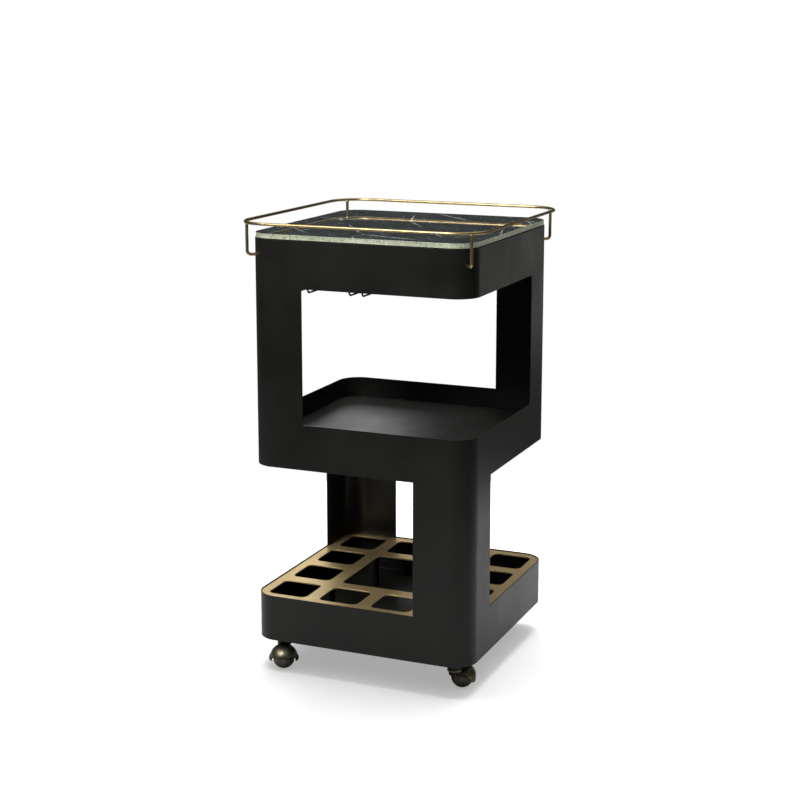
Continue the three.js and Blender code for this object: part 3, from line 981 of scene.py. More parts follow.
class PaintShop:
    """Holds the finish of every slot, and the tread of the ball wheels."""

    def __init__(self) -> None:
        """Builds all finishes."""
        effects = EffectShelf()
        finishes = (
            BakedPaint(Slot.BLACK_PAINT, "baked_black_paint", ior=1.3),
            BakedPaint(Slot.BLACK_WIRE, "black_wire_coat", colour=tint(24, 24, 24),
                       light=tint(32, 31, 31), smooth=0.28, rough=0.36, pebble=1600.0,
                       pebble_depth=0.02 * MM),
            PolishedMarble(Slot.MARBLE, "polished_green_black_marble", ior=1.55),
            MilkySilicone(Slot.SILICONE, "milky_silicone"),
            BrushedMetal(Slot.RAIL_BRASS, "antique_rail_brass", metal=1.0),
            BrushedMetal(Slot.PLATE_BRONZE, "brushed_plate_bronze", metal=0.9,
                         colour=tint(216, 192, 140), aged=tint(182, 160, 116),
                         bright_edge_and_highlight=tint(232, 216, 174), smooth=0.34, rough=0.48,
                         stretch=(0.04, 1.0, 1.0), fineness=1400.0, cloud=9.0),
            BrushedMetal(Slot.ANTIQUE_BRONZE, "antique_bronze", metal=0.9,
                         colour=tint(104, 99, 80), aged=tint(42, 41, 35), film=0.8,
                         bright_edge_and_highlight=tint(140, 132, 106), smooth=0.28, rough=0.4, fineness=700.0),
            BrushedMetal(Slot.BALL_BRONZE, "dark_ball_bronze", metal=0.55,
                         colour=tint(70, 69, 62), aged=tint(40, 40, 37), film=0.7,
                         bright_edge_and_highlight=tint(90, 87, 77), smooth=0.32, rough=0.46, fineness=500.0),
            BrushedMetal(Slot.ZINC_STEEL, "zinc_plated_steel", metal=1.0,
                         colour=tint(196, 198, 198), aged=tint(160, 164, 166),
                         bright_edge_and_highlight=tint(220, 220, 218), smooth=0.28, rough=0.42, cloud=220.0),
        )
        self.materials = {finish.slot: finish.build(effects) for finish in finishes}
        self.tread = BrushedMetal(
            Slot.BALL_BRONZE, "worn_ball_tread", metal=0.3, colour=tint(84, 68, 50),
            aged=tint(54, 45, 35), film=0.8, bright_edge_and_highlight=tint(104, 88, 66), smooth=0.4, rough=0.55,
            fineness=1200.0, cloud=140.0).build(effects)

    def piece(self, name: str, mesh: bpy.types.Mesh, slot: Slot, body: str = FIXED_BODY,
              stands_for: Sequence[str] = (), place: Matrix | None = None,
              material: bpy.types.Material | None = None) -> None:
        """Makes a finished piece and hangs it on its body.

        Args:
            name: Name of the piece.
            mesh: Its shape.
            slot: The slot that it takes its finish from.
            body: The body that it rides on.
            stands_for: The frame nodes that it replaces.
            place: Where its mesh goes, if not where it was drawn.
            material: Its material, if not the slot's own.
        """
        piece = linked(name, mesh)
        if not mesh.materials:
            mesh.materials.append(material or self.materials[slot])
        if place is not None:
            piece.matrix_world = place
        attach(piece, body)
        if stands_for:
            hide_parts(*stands_for)

    def fixed(self, name: str, shape: Shape, slot: Slot, stands_for: Sequence[str] = (),
              place: Matrix | None = None) -> None:
        """Smooths a shape and makes it a piece of the fixed body."""
        self.piece(name, smoothed(name, shape), slot, stands_for=stands_for, place=place)


# ---- The cart's pieces ----------------------------------------------------------------------


@dataclass(frozen=True)
class BodyShell:
    """One welded shell of sheet steel: three bands joined by corner posts."""

    shop: PaintShop
    corner_radius: float = 46 * MM
    sheet: float = 2 * MM
    edge: float = 0.35 * MM
    sharpest: float = math.radians(50)
    bead_radius: float = 1.0 * MM
    bead_lap: float = 4 * MM

    def perimeter(self) -> tuple[Plan, list[str]]:
        """Columns round the body.

        Returns:
            Their places, and for each the kind of window that starts after it.
        """
        half = span("base_band", X)[1]
        flange = span("lower_post_front_right", X)[0]
        inset = half - self.corner_radius
        points: Plan = []
        kinds: list[str] = []
        sides = (("upper", "lower"), ("lower", "upper"), ("upper", "lower"), ("lower", "upper"))
        for quarter, (first, second) in enumerate(sides):
            turn = Matrix.Rotation(quarter * math.pi / 2, 2)
            run = [(half, y) for y in (-flange, 0.0, flange)]
            for step in range(CORNER_STEPS + 1):
                angle = step / CORNER_STEPS * math.pi / 2
                run.append((inset + self.corner_radius * math.cos(angle),
                            inset + self.corner_radius * math.sin(angle)))
            windows = ["both", "both", *[second] * (CORNER_STEPS + 2)]
            for (x, y), window in zip(run, windows):
                spot = turn @ Vector((x, y))
                points.append((spot.x, spot.y))
                kinds.append(window)
        return points, kinds

    def mesh(self) -> bpy.types.Mesh:
        """Builds the shell from its columns and levels.

        Returns:
            The folded sheet with its rounded edges.
        """
        points, kinds = self.perimeter()
        levels = [*span("base_band", Z), *span("middle_band", Z), *span("top_band", Z)]
        windows = {1: "lower", 3: "upper"}
        skin = bmesh.new()
        grid = [[skin.verts.new((x, y, z)) for x, y in points] for z in levels]
        for row in range(len(levels) - 1):
            for i, kind in enumerate(kinds):
                if row in windows and kind in (windows[row], "both"):
                    continue
                j = (i + 1) % len(points)
                skin.faces.new((grid[row][i], grid[row][j], grid[row + 1][j], grid[row + 1][i]))
        bmesh.ops.recalc_face_normals(skin, faces=skin.faces)
        return worked(
            stored("body_shell", skin),
            ("SOLIDIFY", {"thickness": self.sheet, "offset": -1.0, "use_even_offset": True}),
            ("BEVEL", {"width": self.edge, "segments": 2, "limit_method": "ANGLE",
                       "angle_limit": self.sharpest}))

    def bead(self, corner: tuple[int, int], height: float) -> bmesh.types.BMesh:
        """Weld bead inside a post, where it meets a band.

        Args:
            corner: Signs of the post's corner.
            height: Height of the joint.

        Returns:
            The bead's mesh.
        """
        inside = span("base_band", X)[1] - self.sheet
        tail = abs(span("lower_post_front_right", X)[0]) + self.bead_lap
        ends = [Vector((corner[0] * x, corner[1] * y, height))
                for x, y in ((inside, tail), (inside, inside), (tail, inside))]
        path, radii = blunt_ends(bent(ends, [self.corner_radius - self.sheet], 24), self.bead_radius)
        return rod(path, radii, 10)

    def build(self) -> None:
        """Makes the shell and its weld beads."""
        nodes = ["base_band", "middle_band", "top_band", "upper_post_front_left",
                 "upper_post_back_right", "lower_post_front_right", "lower_post_back_left"]
        self.shop.fixed("body_shell", self.mesh(), Slot.BLACK_PAINT, nodes)
        joints = {"lower_post": (span("base_band", Z)[1], span("middle_band", Z)[0]),
                  "upper_post": (span("middle_band", Z)[1], span("top_band", Z)[0])}
        posts = [node.rpartition("_post_") for node in nodes if "_post_" in node]
        for level, _, corner in posts:
            for i, height in enumerate(joints[f"{level}_post"]):
                self.shop.fixed(f"weld_bead_{level}_{corner}_{i + 1}",
                                self.bead(CORNERS[corner], height), Slot.BLACK_PAINT)


@dataclass(frozen=True)
class FoldedPan:
    """A panel or tray folded from sheet, with a skirt all round."""

    shop: PaintShop
    node: str
    skirt_down: bool
    corner_radius: float = 43.7 * MM
    sheet: float = 2 * MM
    bend: float = 2.2 * MM

    def build(self) -> None:
        """Makes the pan."""
        low, high = span(self.node, Z)
        half = span(self.node, X)[1]
        face, rim, inward = (high, low, -1) if self.skirt_down else (low, high, 1)
        back = face + inward * self.sheet
        outer = eased([(FLAT_LAP, face), (0.0, face), (0.0, rim)], self.bend)
        inner = eased([(self.sheet, rim), (self.sheet, back), (FLAT_LAP, back)], self.bend / 3)
        pan = squared(outer + inner, half, self.corner_radius)
        self.shop.fixed(f"{self.node}_pan", pan, Slot.BLACK_PAINT, [self.node])


@dataclass(frozen=True)
class MarbleTop:
    """The stone slab and its four soft pads."""

    shop: PaintShop
    corner_radius: float = 44.5 * MM
    arris: float = 0.9 * MM
    pad_edge: float = 0.3 * MM

    def build(self) -> None:
        """Makes the slab and the pads."""
        low, high = span("marble_top", Z)
        half = span("marble_top", X)[1]
        profile = eased([(FLAT_LAP, low), (0.0, low), (0.0, high), (FLAT_LAP, high)], self.arris)
        slab = squared(profile, half, self.corner_radius)
        self.shop.fixed("marble_slab", slab, Slot.MARBLE, ["marble_top"])
        for i in range(1, 5):
            node = f"marble_pad_{i}"
            pad, place = drum_for(node, X, self.pad_edge)
            self.shop.fixed(f"slab_{node}", pad, Slot.SILICONE, [node], place)


@dataclass(frozen=True)
class GalleryRail:
    """A loop of brass rod on four bent posts that hook into the body's corners."""

    shop: PaintShop
    corner_radius: float = 64 * MM
    bend: float = 8 * MM
    weld: float = 0.9 * MM
    weld_waist: float = 1.2 * MM
    weld_end: float = 3 * MM
    nut_edge: float = 0.4 * MM
    nut_flats: float = 11 * MM
    nut_bore: float = 3.5 * MM

    def loop(self, half: float, height: float, radius: float) -> bmesh.types.BMesh:
        """Builds the loop.

        Args:
            half: Half of the side of its centre line.
            height: Height of its centre line.
            radius: Radius of the rod.

        Returns:
            The loop's mesh.
        """
        path = [Vector((x, y, height)) for x, y in round_square(half, self.corner_radius, steps=32)]
        return rod(path, [radius] * len(path), joined=True)

    def post(self, corner: str, top: float, radius: float) -> bmesh.types.BMesh:
        """Builds one post, from the loop down and in through the band.

        Args:
            corner: Name of its corner.
            top: Height of the loop's centre line.
            radius: Radius of the rod.

        Returns:
            The post's mesh.
        """
        x, y = CORNERS[corner]
        low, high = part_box(f"rail_post_{corner}")
        outer = max(abs(low.x), abs(high.x)) - radius
        tail = min(abs(low.x), abs(high.x)) + radius * math.sqrt(0.5)
        hook = low.z + radius
        corners = [Vector((x * out, y * out, z)) for out, z in ((outer, top), (outer, hook), (tail, hook))]
        path = bent(corners, [self.bend])
        neck = [path[0] - Vector((0, 0, drop))
                for drop in (0.0, radius, radius + self.weld_waist, radius + self.weld_end)]
        neck_radii = [radius, radius + self.weld, radius + self.weld * 0.35, radius]
        rest, rest_radii = blunt_ends(path[1:], radius)
        return rod(neck + rest[3:], neck_radii + rest_radii[3:])

    def nut(self, corner: str) -> tuple[bpy.types.Mesh, Matrix]:
        """Builds the nut inside one corner.

        Args:
            corner: Name of its corner.

        Returns:
            Its mesh, and where it goes.
        """
        x, y = CORNERS[corner]
        low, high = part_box(f"rail_nut_{corner}")
        middle = (low + high) / 2
        rim = self.nut_flats / math.sqrt(3)
        thickness = (high.x - low.x) * math.sqrt(2) - self.nut_flats
        nut = cut_sheet(ring_of_arc(rim, 6), [ring_of_arc(self.nut_bore, 32)], thickness, self.nut_edge)
        facing = Vector((x, y, 0)).to_track_quat("Z", "Y").to_matrix().to_4x4()
        return nut, Matrix.Translation(middle) @ facing

    def build(self) -> None:
        """Makes the loop, the posts and their nuts."""
        low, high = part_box("gallery_rail")
        radius = (high.z - low.z) / 2
        height = (high.z + low.z) / 2
        loop = self.loop(high.x - radius, height, radius)
        self.shop.fixed("rail_loop", loop, Slot.RAIL_BRASS, ["gallery_rail"])
        for corner in CORNERS:
            self.shop.fixed(f"hooked_post_{corner}", self.post(corner, height, radius),
                            Slot.RAIL_BRASS, [f"rail_post_{corner}"])
            nut, place = self.nut(corner)
            self.shop.fixed(f"post_nut_{corner}", nut, Slot.ZINC_STEEL, [f"rail_nut_{corner}"], place)


@dataclass(frozen=True)
class StemwareRack:
    """Two hairpin channels of wire in two strip hangers under the top panel."""

    shop: PaintShop
    slot_width: float = 27 * MM
    flare_run: float = 15 * MM
    flare_rise: float = 18 * MM
    flare_bend: float = 6 * MM
    strip: float = 2 * MM
    strip_corner: float = 0.8 * MM
    strip_edge: float = 0.25 * MM
    foot_gap: float = 0.3 * MM
    shank_radius: float = 2 * MM
    socket_radius: float = 1.3 * MM
    socket_depth: float = 1.2 * MM
    head_flank: float = 1.3 * MM
    head_height: float = 2.4 * MM
    screw_edge: float = 0.35 * MM

    def channel(self, node: str) -> bmesh.types.BMesh:
        """Builds one channel as a single bent wire.

        Args:
            node: The frame node that it replaces.

        Returns:
            The wire's mesh.
        """
        low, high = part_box(node)
        radius = ((high.x - low.x) - self.slot_width) / 2
        left, right = low.x + radius, high.x - radius
        level = low.z + radius
        rear = high.y - radius
        run = math.hypot(self.flare_run, self.flare_rise)
        front = low.y + self.flare_run + radius * self.flare_rise / run
        side = ((front - self.flare_run, level + self.flare_rise), (front, level), (rear, level))
        corners = [Vector((left, y, z)) for y, z in side]
        corners += [Vector((right, y, z)) for y, z in reversed(side)]
        bends = [self.flare_bend, self.slot_width / 2, self.slot_width / 2, self.flare_bend]
        return rod(*blunt_ends(bent(corners, bends, 10), radius), 16)

    def hanger(self, node: str) -> tuple[bpy.types.Mesh, Matrix]:
        """Builds one hanger, a bar with three legs and the feet that carry the wires.

        Args:
            node: The frame node that it replaces.

        Returns:
            Its mesh, and where it goes.
        """
        low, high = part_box(node)
        start, end = span("rack_channel_left", X)
        wire = (end - start) / 2 + self.foot_gap
        middle, thick = (low.x + high.x) / 2, self.strip
        foot, under = low.z + thick, high.z - thick
        left, right = (start + end) / 2 - wire, (start + end) / 2 + wire
        half = [(low.x, high.z), (low.x, low.z), (left, low.z), (left, foot), (low.x + thick, foot),
                (low.x + thick, under), (middle - thick / 2, under), (middle - thick / 2, foot),
                (right, foot), (right, low.z)]
        outline = half + [(2 * middle - x, z) for x, z in reversed(half)]
        soft = eased(outline, self.strip_corner, closed=True)
        mesh = cut_sheet(soft, [], high.y - low.y, self.strip_edge)
        upright = Matrix.Rotation(math.pi / 2, 4, "X")
        return mesh, Matrix.Translation((0, (low.y + high.y) / 2, 0)) @ upright

    def screw(self, node: str) -> tuple[bmesh.types.BMesh, Matrix]:
        """Builds one pan-head screw with a socket in its head.

        Args:
            node: The frame node that it replaces.

        Returns:
            Its mesh, and where it goes.
        """
        low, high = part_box(node)
        middle = (low + high) / 2
        head, floor = (high.x - low.x) / 2, low.z + self.socket_depth
        top = low.z + self.head_height
        profile = [(0.0, floor), (self.socket_radius, floor), (self.socket_radius, low.z),
                   (head * 0.75, low.z), (head, low.z + self.head_flank), (head, top),
                   (self.shank_radius, top), (self.shank_radius, high.z), (0.0, high.z)]
        return (turned(eased(profile, self.screw_edge), 32),
                Matrix.Translation((middle.x, middle.y, 0)))

    def build(self) -> None:
        """Makes the channels, the hangers and the screws."""
        for side in ("left", "right"):
            node = f"rack_channel_{side}"
            self.shop.fixed(f"stem_wire_{side}", self.channel(node), Slot.BLACK_WIRE, [node])
        for side in ("front", "rear"):
            node = f"rack_hanger_{side}"
            mesh, place = self.hanger(node)
            self.shop.fixed(f"strip_hanger_{side}", mesh, Slot.BLACK_WIRE, [node], place)
        for i in range(1, 5):
            node = f"rack_screw_{i}"
            mesh, place = self.screw(node)
            self.shop.fixed(f"pan_screw_{i}", mesh, Slot.ZINC_STEEL, [node], place)


@dataclass(frozen=True)
class BottlePlate:
    """The bronze grid that holds bottles upright, on four pillars."""

    shop: PaintShop
    corner_radius: float = 43.7 * MM
    cell: float = 83 * MM
    fillet: float = 13 * MM
    inner_cell: float = 55.5 * MM
    outer_cell: float = 166.5 * MM
    centre_half: float = 97 * MM
    edge: float = 0.4 * MM
    pillar_edge: float = 0.6 * MM

    def build(self) -> None:
        """Makes the plate and its pillars."""
        low, high = span("bottle_plate", Z)
        half = span("bottle_plate", X)[1]
        places = (-self.outer_cell, -self.inner_cell, self.inner_cell, self.outer_cell)
        holes = [round_square(self.centre_half, self.fillet, steps=10)]
        for x in places:
            for y in places:
                if max(abs(x), abs(y)) == self.outer_cell:
                    holes.append(round_square(self.cell / 2, self.fillet, (x, y), 10))
        mesh = cut_sheet(round_square(half, self.corner_radius), holes, high - low, self.edge)
        self.shop.fixed("bottle_grid", mesh, Slot.PLATE_BRONZE, ["bottle_plate"],
                        Matrix.Translation((0, 0, (low + high) / 2)))
        for i in range(1, 5):
            node = f"plate_pillar_{i}"
            pillar, place = drum_for(node, Y, self.pillar_edge, 40)
            self.shop.fixed(f"grid_{node}", pillar, Slot.BLACK_PAINT, [node], place)


@dataclass(frozen=True)
class CasterMould:
    """Shapes of one ball caster, drawn with its swivel on Z and its ball towards +X."""

    trail: float
    ball_radius: float
    swivel_top: float
    hood_radius: float = 28 * MM
    hood_inside: float = 24.6 * MM
    boss_radius: float = 14 * MM
    boss_height: float = 4.2 * MM
    seat_radius: float = 15.1 * MM
    ear_radius: float = 6.5 * MM
    ear_reach: float = 28.6 * MM
    axle_radius: float = 2.5 * MM
    axle_gap: float = 0.3 * MM
    rivet_radius: float = 4.2 * MM
    rivet_height: float = 1.2 * MM
    king_radius: float = 5 * MM
    king_length: float = 9.5 * MM
    hub_half: float = 20.5 * MM
    tread_half: float = 3.2 * MM
    tread_proud: float = 0.12 * MM
    tread_depth: float = 0.6 * MM
    grain: float = 0.55 * MM
    softening: int = 5
    kept_faces: float = 0.35
    stem_radius: float = 4 * MM
    stem_length: float = 12 * MM
    neck_edge: float = 0.7 * MM
    neck_chamfer: float = 0.8 * MM
    neck_ridge: float = 3.2 * MM
    king_gap: float = 0.15 * MM
    king_room: float = 1 * MM
    insert_bore: float = 4.3 * MM
    insert_cap: float = 2.8 * MM
    insert_edge: float = 0.6 * MM

    def rim(self) -> Plan:
        """Side view of the hood's lower rim.

        Returns:
            Its points, towards the ball and up from the ball's centre.
        """
        reach = self.hood_radius
        below = self.swivel_top - self.boss_height - self.ball_radius
        corners = [(reach + 4 * MM, 9 * MM), (reach / 2, 6.5 * MM), (10 * MM, 3.5 * MM),
                   (7.5 * MM, -4 * MM), (5 * MM, -6.6 * MM), (1 * MM, -7 * MM), (-6 * MM, -4 * MM),
                   (-13 * MM, 6 * MM), (-18 * MM, 14 * MM), (-reach - self.boss_radius, below)]
        return eased(corners, 2.5 * MM)

    def solid(self, name: str, mesh: bmesh.types.BMesh, place: Matrix) -> bpy.types.Object:
        """Puts a shape in place for cutting and joining.

        Args:
            name: Name of the shape.
            mesh: The shape.
            place: Where it goes.

        Returns:
            An object that carries it.
        """
        mesh.transform(place)
        bmesh.ops.recalc_face_normals(mesh, faces=mesh.faces)
        return linked(name, stored(name, mesh))

    def sphere(self, radius: float, steps: int = 40) -> bmesh.types.BMesh:
        """Fine sphere with its poles on Z.

        Args:
            radius: Its radius.
            steps: Facets from pole to pole.

        Returns:
            Its mesh.
        """
        angles = [math.pi * (i / steps - 0.5) for i in range(steps + 1)]
        profile = [(radius * math.cos(a) if 0 < i < steps else 0.0, radius * math.sin(a))
                   for i, a in enumerate(angles)]
        return turned(profile, 2 * steps)

    def drum(self, radius: float, low: float, high: float) -> bmesh.types.BMesh:
        """Drum about Z between two heights."""
        return turned([(0.0, low), (radius, low), (radius, high), (0.0, high)], 48)

    def belt(self, radius: float, tilt: float, steps: int) -> Plan:
        """Profile of a ball's face, from one tilt below its level to the same above it."""
        angles = (tilt * (2 * i / steps - 1) for i in range(steps + 1))
        return [(radius * math.cos(a), radius * math.sin(a)) for a in angles]

    def hood(self) -> bpy.types.Mesh:
        """Casts the hood: dome, ears and boss joined, hollowed for the ball, with soft edges.

        Returns:
            Its mesh.
        """
        ball = Matrix.Translation((self.trail, 0, self.ball_radius))
        along_axle = ball @ Matrix.Rotation(math.pi / 2, 4, "X")
        reach = self.hood_radius
        rim = self.rim()
        outline = [*rim, (rim[-1][0], 2 * reach), (rim[0][0], 2 * reach)]
        keep = loft([[Vector((x, y, side * 2 * reach)) for x, y in outline] for side in (-1, 1)])
        body = self.solid("hood", self.sphere(reach), ball)
        below = self.swivel_top - self.boss_height
        ears = self.drum(self.ear_radius, -self.ear_reach, self.ear_reach)
        pin = self.drum(self.king_radius, self.swivel_top - 1 * MM, self.swivel_top + self.king_length)
        still = Matrix.Identity(4)
        steps = (
            ("INTERSECT", keep, along_axle),
            ("DIFFERENCE", self.drum(self.seat_radius, self.swivel_top, 3 * reach), still),
            ("UNION", ears, along_axle),
            ("UNION", self.drum(self.boss_radius, below, self.swivel_top), still),
            ("DIFFERENCE", self.sphere(self.hood_inside), ball),
            ("DIFFERENCE", self.drum(self.axle_radius + self.axle_gap, -2 * reach, 2 * reach), along_axle),
            ("UNION", pin, still),
        )
        tools = []
        for operation, shape, place in steps:
            tool = self.solid(operation.lower(), shape, place)
            cut = body.modifiers.new(operation.lower(), "BOOLEAN")
            cut.operation, cut.solver, cut.object = operation, "EXACT", tool
            tools.append(tool)
        remesh = body.modifiers.new("cast", "REMESH")
        remesh.mode, remesh.voxel_size, remesh.use_smooth_shade = "VOXEL", self.grain, True
        soften = body.modifiers.new("soften", "SMOOTH")
        soften.factor, soften.iterations = 0.5, self.softening
        thin = body.modifiers.new("thin", "DECIMATE")
        thin.ratio = self.kept_faces
        mesh = applied(body)
        for tool in tools:
            bpy.data.objects.remove(tool)
        mesh.name = "caster_hood"
        mesh.shade_smooth()
        return mesh

    def axle(self) -> bmesh.types.BMesh:
        """Axle along Z with a domed rivet head at each end.

        Returns:
            Its mesh.
        """
        inner = self.ear_reach + 0.2 * MM
        outer = inner + self.rivet_height
        half = [(self.axle_radius, inner), (self.rivet_radius, inner),
                (self.rivet_radius * 0.9, inner + 0.6 * MM), (self.rivet_radius * 0.55, outer - 0.15 * MM),
                (0.0, outer)]
        lower = [(radius, -height) for radius, height in reversed(half)]
        return turned(lower + half, 40)

    def ball(self) -> bmesh.types.BMesh:
        """Ball wheel along Z, bored for the axle, with dished hubs.

        Returns:
            Its mesh.
        """
        bore = self.axle_radius + self.axle_gap
        tilt = math.asin(self.hub_half / self.ball_radius)
        crown = self.belt(self.ball_radius - self.tread_proud, tilt, 48)
        rim = crown[-1][0]
        dish = [(rim * 0.8, self.hub_half * 0.985), (bore + 1.5 * MM, self.hub_half * 0.975),
                (bore, self.hub_half * 0.96)]
        lower = [(r, -z) for r, z in reversed(dish)]
        return turned(lower + crown + dish, ROUND_STEPS, joined=True)

    def tread(self) -> bmesh.types.BMesh:
        """Band round the ball where it rolls.

        Returns:
            Its mesh.
        """
        under = self.ball_radius - self.tread_depth
        face = self.belt(self.ball_radius, self.tread_half / self.ball_radius, 10)
        skirt = [(under, self.tread_half), (under, -self.tread_half)]
        return turned(face + skirt, ROUND_STEPS, joined=True)

    def neck(self, corner: str) -> bmesh.types.BMesh:
        """Fixed neck with a stem above and a bore for the kingpin below.

        Args:
            corner: Name of its corner.

        Returns:
            Its mesh.
        """
        low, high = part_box(f"caster_{corner}_neck")
        radius, bore = (high.y - low.y) / 2, self.king_radius + self.king_gap
        shoulder = high.z - self.stem_length
        bore_top = self.swivel_top + self.king_length + self.king_room
        profile = [(0.0, bore_top), (bore, bore_top), (bore, low.z), (radius - self.neck_chamfer, low.z),
                   (radius, low.z + self.neck_ridge), (radius, shoulder), (self.stem_radius, shoulder),
                   (self.stem_radius, high.z), (0.0, high.z)]
        return turned(eased(profile, self.neck_edge))

    def insert(self, corner: str) -> bmesh.types.BMesh:
        """Threaded insert welded under the base tray.

        Args:
            corner: Name of its corner.

        Returns:
            Its mesh.
        """
        low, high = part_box(f"caster_{corner}_insert")
        radius, bore, cap = (high.y - low.y) / 2, self.insert_bore, high.z - self.insert_cap
        profile = [(0.0, cap), (bore, cap), (bore, low.z), (radius, low.z), (radius, high.z),
                   (0.0, high.z)]
        return turned(eased(profile, self.insert_edge))


@dataclass(frozen=True)
class BallCasters:
    """Four ball casters, each a fixed neck, a swivelling hood and a rolling ball."""

    shop: PaintShop

    def build(self) -> None:
        """Makes the four casters from one set of shapes."""
        first = next(iter(CORNERS))
        swivel, roll = joint_place(f"swivel_{first}"), joint_place(f"roll_{first}")
        trail = (roll - swivel).to_2d().length
        mould = CasterMould(trail, roll.z, swivel.z)
        shapes = {
            "neck": smoothed("caster_neck", mould.neck(first)),
            "insert": smoothed("caster_insert", mould.insert(first)),
            "hood": mould.hood(),
            "axle": smoothed("caster_axle", mould.axle()),
            "ball": smoothed("caster_ball", mould.ball()),
        }
        tread = smoothed("caster_tread", mould.tread())
        slots = {"neck": Slot.BLACK_PAINT, "insert": Slot.ZINC_STEEL, "hood": Slot.ANTIQUE_BRONZE,
                 "axle": Slot.ANTIQUE_BRONZE, "ball": Slot.BALL_BRONZE}
        for corner in CORNERS:
            swivel, roll = joint_place(f"swivel_{corner}"), joint_place(f"roll_{corner}")
            ahead = (roll - swivel).to_2d()
            turn = Matrix.Rotation(math.atan2(ahead.y, ahead.x), 4, "Z")
            upright = Matrix.Translation((swivel.x, swivel.y, 0)) @ turn
            lying = Matrix.Translation(roll) @ turn @ Matrix.Rotation(math.pi / 2, 4, "X")
            bodies = {"hood": f"swivel_{corner}", "axle": f"swivel_{corner}", "ball": f"ball_{corner}"}
            for part, mesh in shapes.items():
                self.shop.piece(f"{part}_{corner}", mesh, slots[part], bodies.get(part, FIXED_BODY),
                                [f"caster_{corner}_{part}"],
                                lying if part in ("axle", "ball") else upright)
            self.shop.piece(f"tread_{corner}", tread, Slot.BALL_BRONZE, f"ball_{corner}",
                            place=lying, material=self.shop.tread)


# ---- Studio ---------------------------------------------------------------------------------


@dataclass(frozen=True)
class Softbox:
    """One rectangular studio light."""

    name: str
    place: tuple[float, float, float]
    target: tuple[float, float, float]
    size: tuple[float, float]
    watts: float
    colour: tuple[float, float, float] = (1.0, 1.0, 1.0)
    spared: bpy.types.Object | None = None
    mirrored: bool = True

    def build(self) -> None:
        """Hangs the light, turns it to its target and keeps it off whatever it spares."""
        light = bpy.data.lights.new(self.name, "AREA")
        light.shape = "RECTANGLE"
        light.size, light.size_y = self.size
        light.energy = self.watts
        light.color = self.colour
        holder = linked(self.name, light)
        holder.visible_camera = False
        holder.visible_glossy = self.mirrored
        holder.location = self.place
        aim = Vector(self.target) - Vector(self.place)
        holder.rotation_euler = aim.to_track_quat("-Z", "Y").to_euler()
        if self.spared:
            unlit = bpy.data.collections.new(f"unlit_by_{self.name}")
            unlit.objects.link(self.spared)
            unlit.collection_objects[0].light_linking.link_state = "EXCLUDE"
            holder.light_linking.receiver_collection = unlit


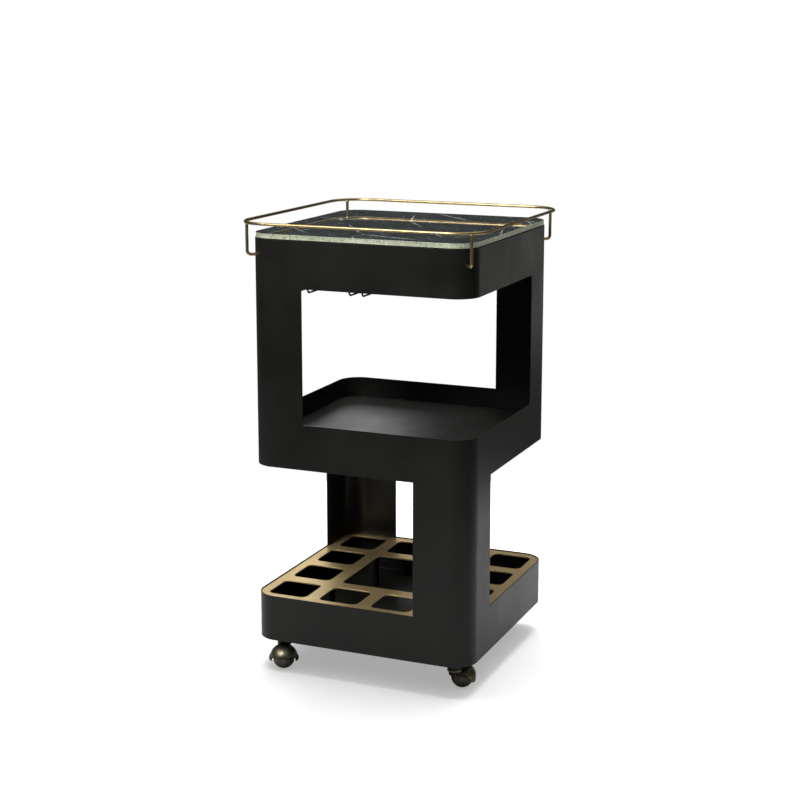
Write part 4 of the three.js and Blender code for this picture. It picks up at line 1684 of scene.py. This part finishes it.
@dataclass(frozen=True)
class Studio:
    """Pale floor, soft light and the camera."""

    floor_radius: float = 1.3
    # Strength of the floor's painted glow in its middle, seen only by the camera.
    floor_glow: float = 0.38
    floor_tone: tuple = (0.58, 0.58, 0.585, 1)
    floor_light: tuple = (0.62, 0.62, 0.62, 1)
    floor_rough: float = 0.75
    glow_start: float = 0.4
    room_tone: tuple = (1.0, 0.99, 0.975, 1)
    room_above: tuple[float, ...] = (0.42, 0.8, 0.04, 0.9)
    room_below: tuple[float, ...] = (0.0, -0.12, 0.0, 0.05)
    sensor: float = 36.0
    lens: float = 75.18
    place: tuple[float, float, float] = (1.2811, -3.0425, 1.2663)
    yaw: float = 22.971
    pitch: float = 11.034
    rise: float = -0.06

    def camera(self) -> None:
        """Sets up the camera."""
        data = bpy.data.cameras.new("camera")
        data.lens = self.lens
        data.sensor_width = self.sensor
        data.shift_y = self.rise
        holder = linked("camera", data)
        holder.location = self.place
        holder.rotation_euler = (math.radians(90 - self.pitch), 0, math.radians(self.yaw))
        bpy.context.scene.camera = holder

    def paper(self, wiring: Wiring) -> Plugs:
        """Even pale paper with a painted glow, seen only by the camera, that lightens the cart's shadow
        and rises to white towards its rim.

        Args:
            wiring: The material's nodes.

        Returns:
            The shader's inputs.
        """
        place = wiring.place()
        grain = wiring.noise(place, 400.0, 2.0)
        out = wiring.node("VectorMath", {0: place}, operation="LENGTH").outputs["Value"]
        start = self.glow_start * self.floor_radius
        # Painted glow, seen only by the camera: it lightens the floor and the cart's shadow on it, and
        # rises to full white at the rim.
        glow = wiring.fit(out, start, self.floor_radius, self.floor_glow, 1.0)
        seen = wiring.node("LightPath").outputs["Is Camera Ray"]
        return {"Base Color": wiring.mix(grain, self.floor_tone, self.floor_light),
                "Roughness": self.floor_rough, "Emission Color": (1, 1, 1, 1),
                "Emission Strength": wiring.times(glow, seen)}

    def floor(self) -> bpy.types.Object:
        """Lays the floor, a disc of paper.

        Returns:
            The floor.
        """
        disc = bmesh.new()
        bmesh.ops.create_circle(disc, cap_ends=True, segments=128, radius=self.floor_radius)
        mesh = stored("studio_floor", disc)
        mesh.materials.append(new_material("studio_floor", self.paper))
        floor = linked("studio_floor", mesh)
        return floor

    def sky(self) -> None:
        """Sets the white backdrop, and the dimmer room that lights and reflects."""
        world = bpy.data.worlds.new("studio")
        world.use_nodes = True
        bpy.context.scene.world = world
        wiring = Wiring(world.node_tree)
        up = wiring.node("SeparateXYZ", {0: wiring.node("TexCoord").outputs["Generated"]}).outputs["Z"]
        above, below = wiring.fit(up, *self.room_above), wiring.fit(up, *self.room_below)
        room = wiring.node("Background", {"Color": self.room_tone, "Strength": wiring.plus(above, below)})
        white = wiring.node("Background", {"Color": (1, 1, 1, 1), "Strength": 1.0})
        seen = wiring.node("LightPath").outputs["Is Camera Ray"]
        both = wiring.node("MixShader", {0: seen, 1: room.outputs[0], 2: white.outputs[0]})
        wiring.node("OutputWorld", {"Surface": both.outputs[0]})

    def build(self) -> None:
        """Sets up the whole studio."""
        self.camera()
        floor = self.floor()
        self.sky()
        for light in (
            Softbox("overhead", (-0.1, 0.35, 2.7), (0, 0, 0), (1.8, 1.8), 135.0, mirrored=False),
            Softbox("low_back", (-0.65, 1.0, 0.77), (-0.1, -0.1, 0.5), (0.42, 0.36), 1.2),
            Softbox("low_right", (1.15, 2.3, 0.45), (0.25, 0, 0.8), (1.3, 0.5), 1.1, (1.0, 0.97, 0.9)),
            Softbox("front_key", (-0.7, -2.7, 3.0), (0, 0, 0.5), (1.6, 1.6), 210.0, (1.0, 0.985, 0.96),
                    spared=floor),
        ):
            light.build()
        view = bpy.context.scene.view_settings
        view.view_transform = "Standard"
        view.look = "None"


# ---- Putting it together --------------------------------------------------------------------


def main() -> None:
    """Builds the studio and the cart, piece by piece."""
    logging.basicConfig(level=logging.INFO, format="%(message)s")
    Studio().build()
    LOG.info("studio")
    shop = PaintShop()
    LOG.info("finishes: %d", len(shop.materials))
    assemblies = (
        BodyShell(shop),
        FoldedPan(shop, "top_panel", skirt_down=True),
        FoldedPan(shop, "serving_tray", skirt_down=True),
        FoldedPan(shop, "base_tray", skirt_down=False),
        MarbleTop(shop),
        GalleryRail(shop),
        StemwareRack(shop),
        BottlePlate(shop),
        BallCasters(shop),
    )
    for assembly in assemblies:
        assembly.build()
        LOG.info("built %s", type(assembly).__name__)


if __name__ == "__main__":
    main()
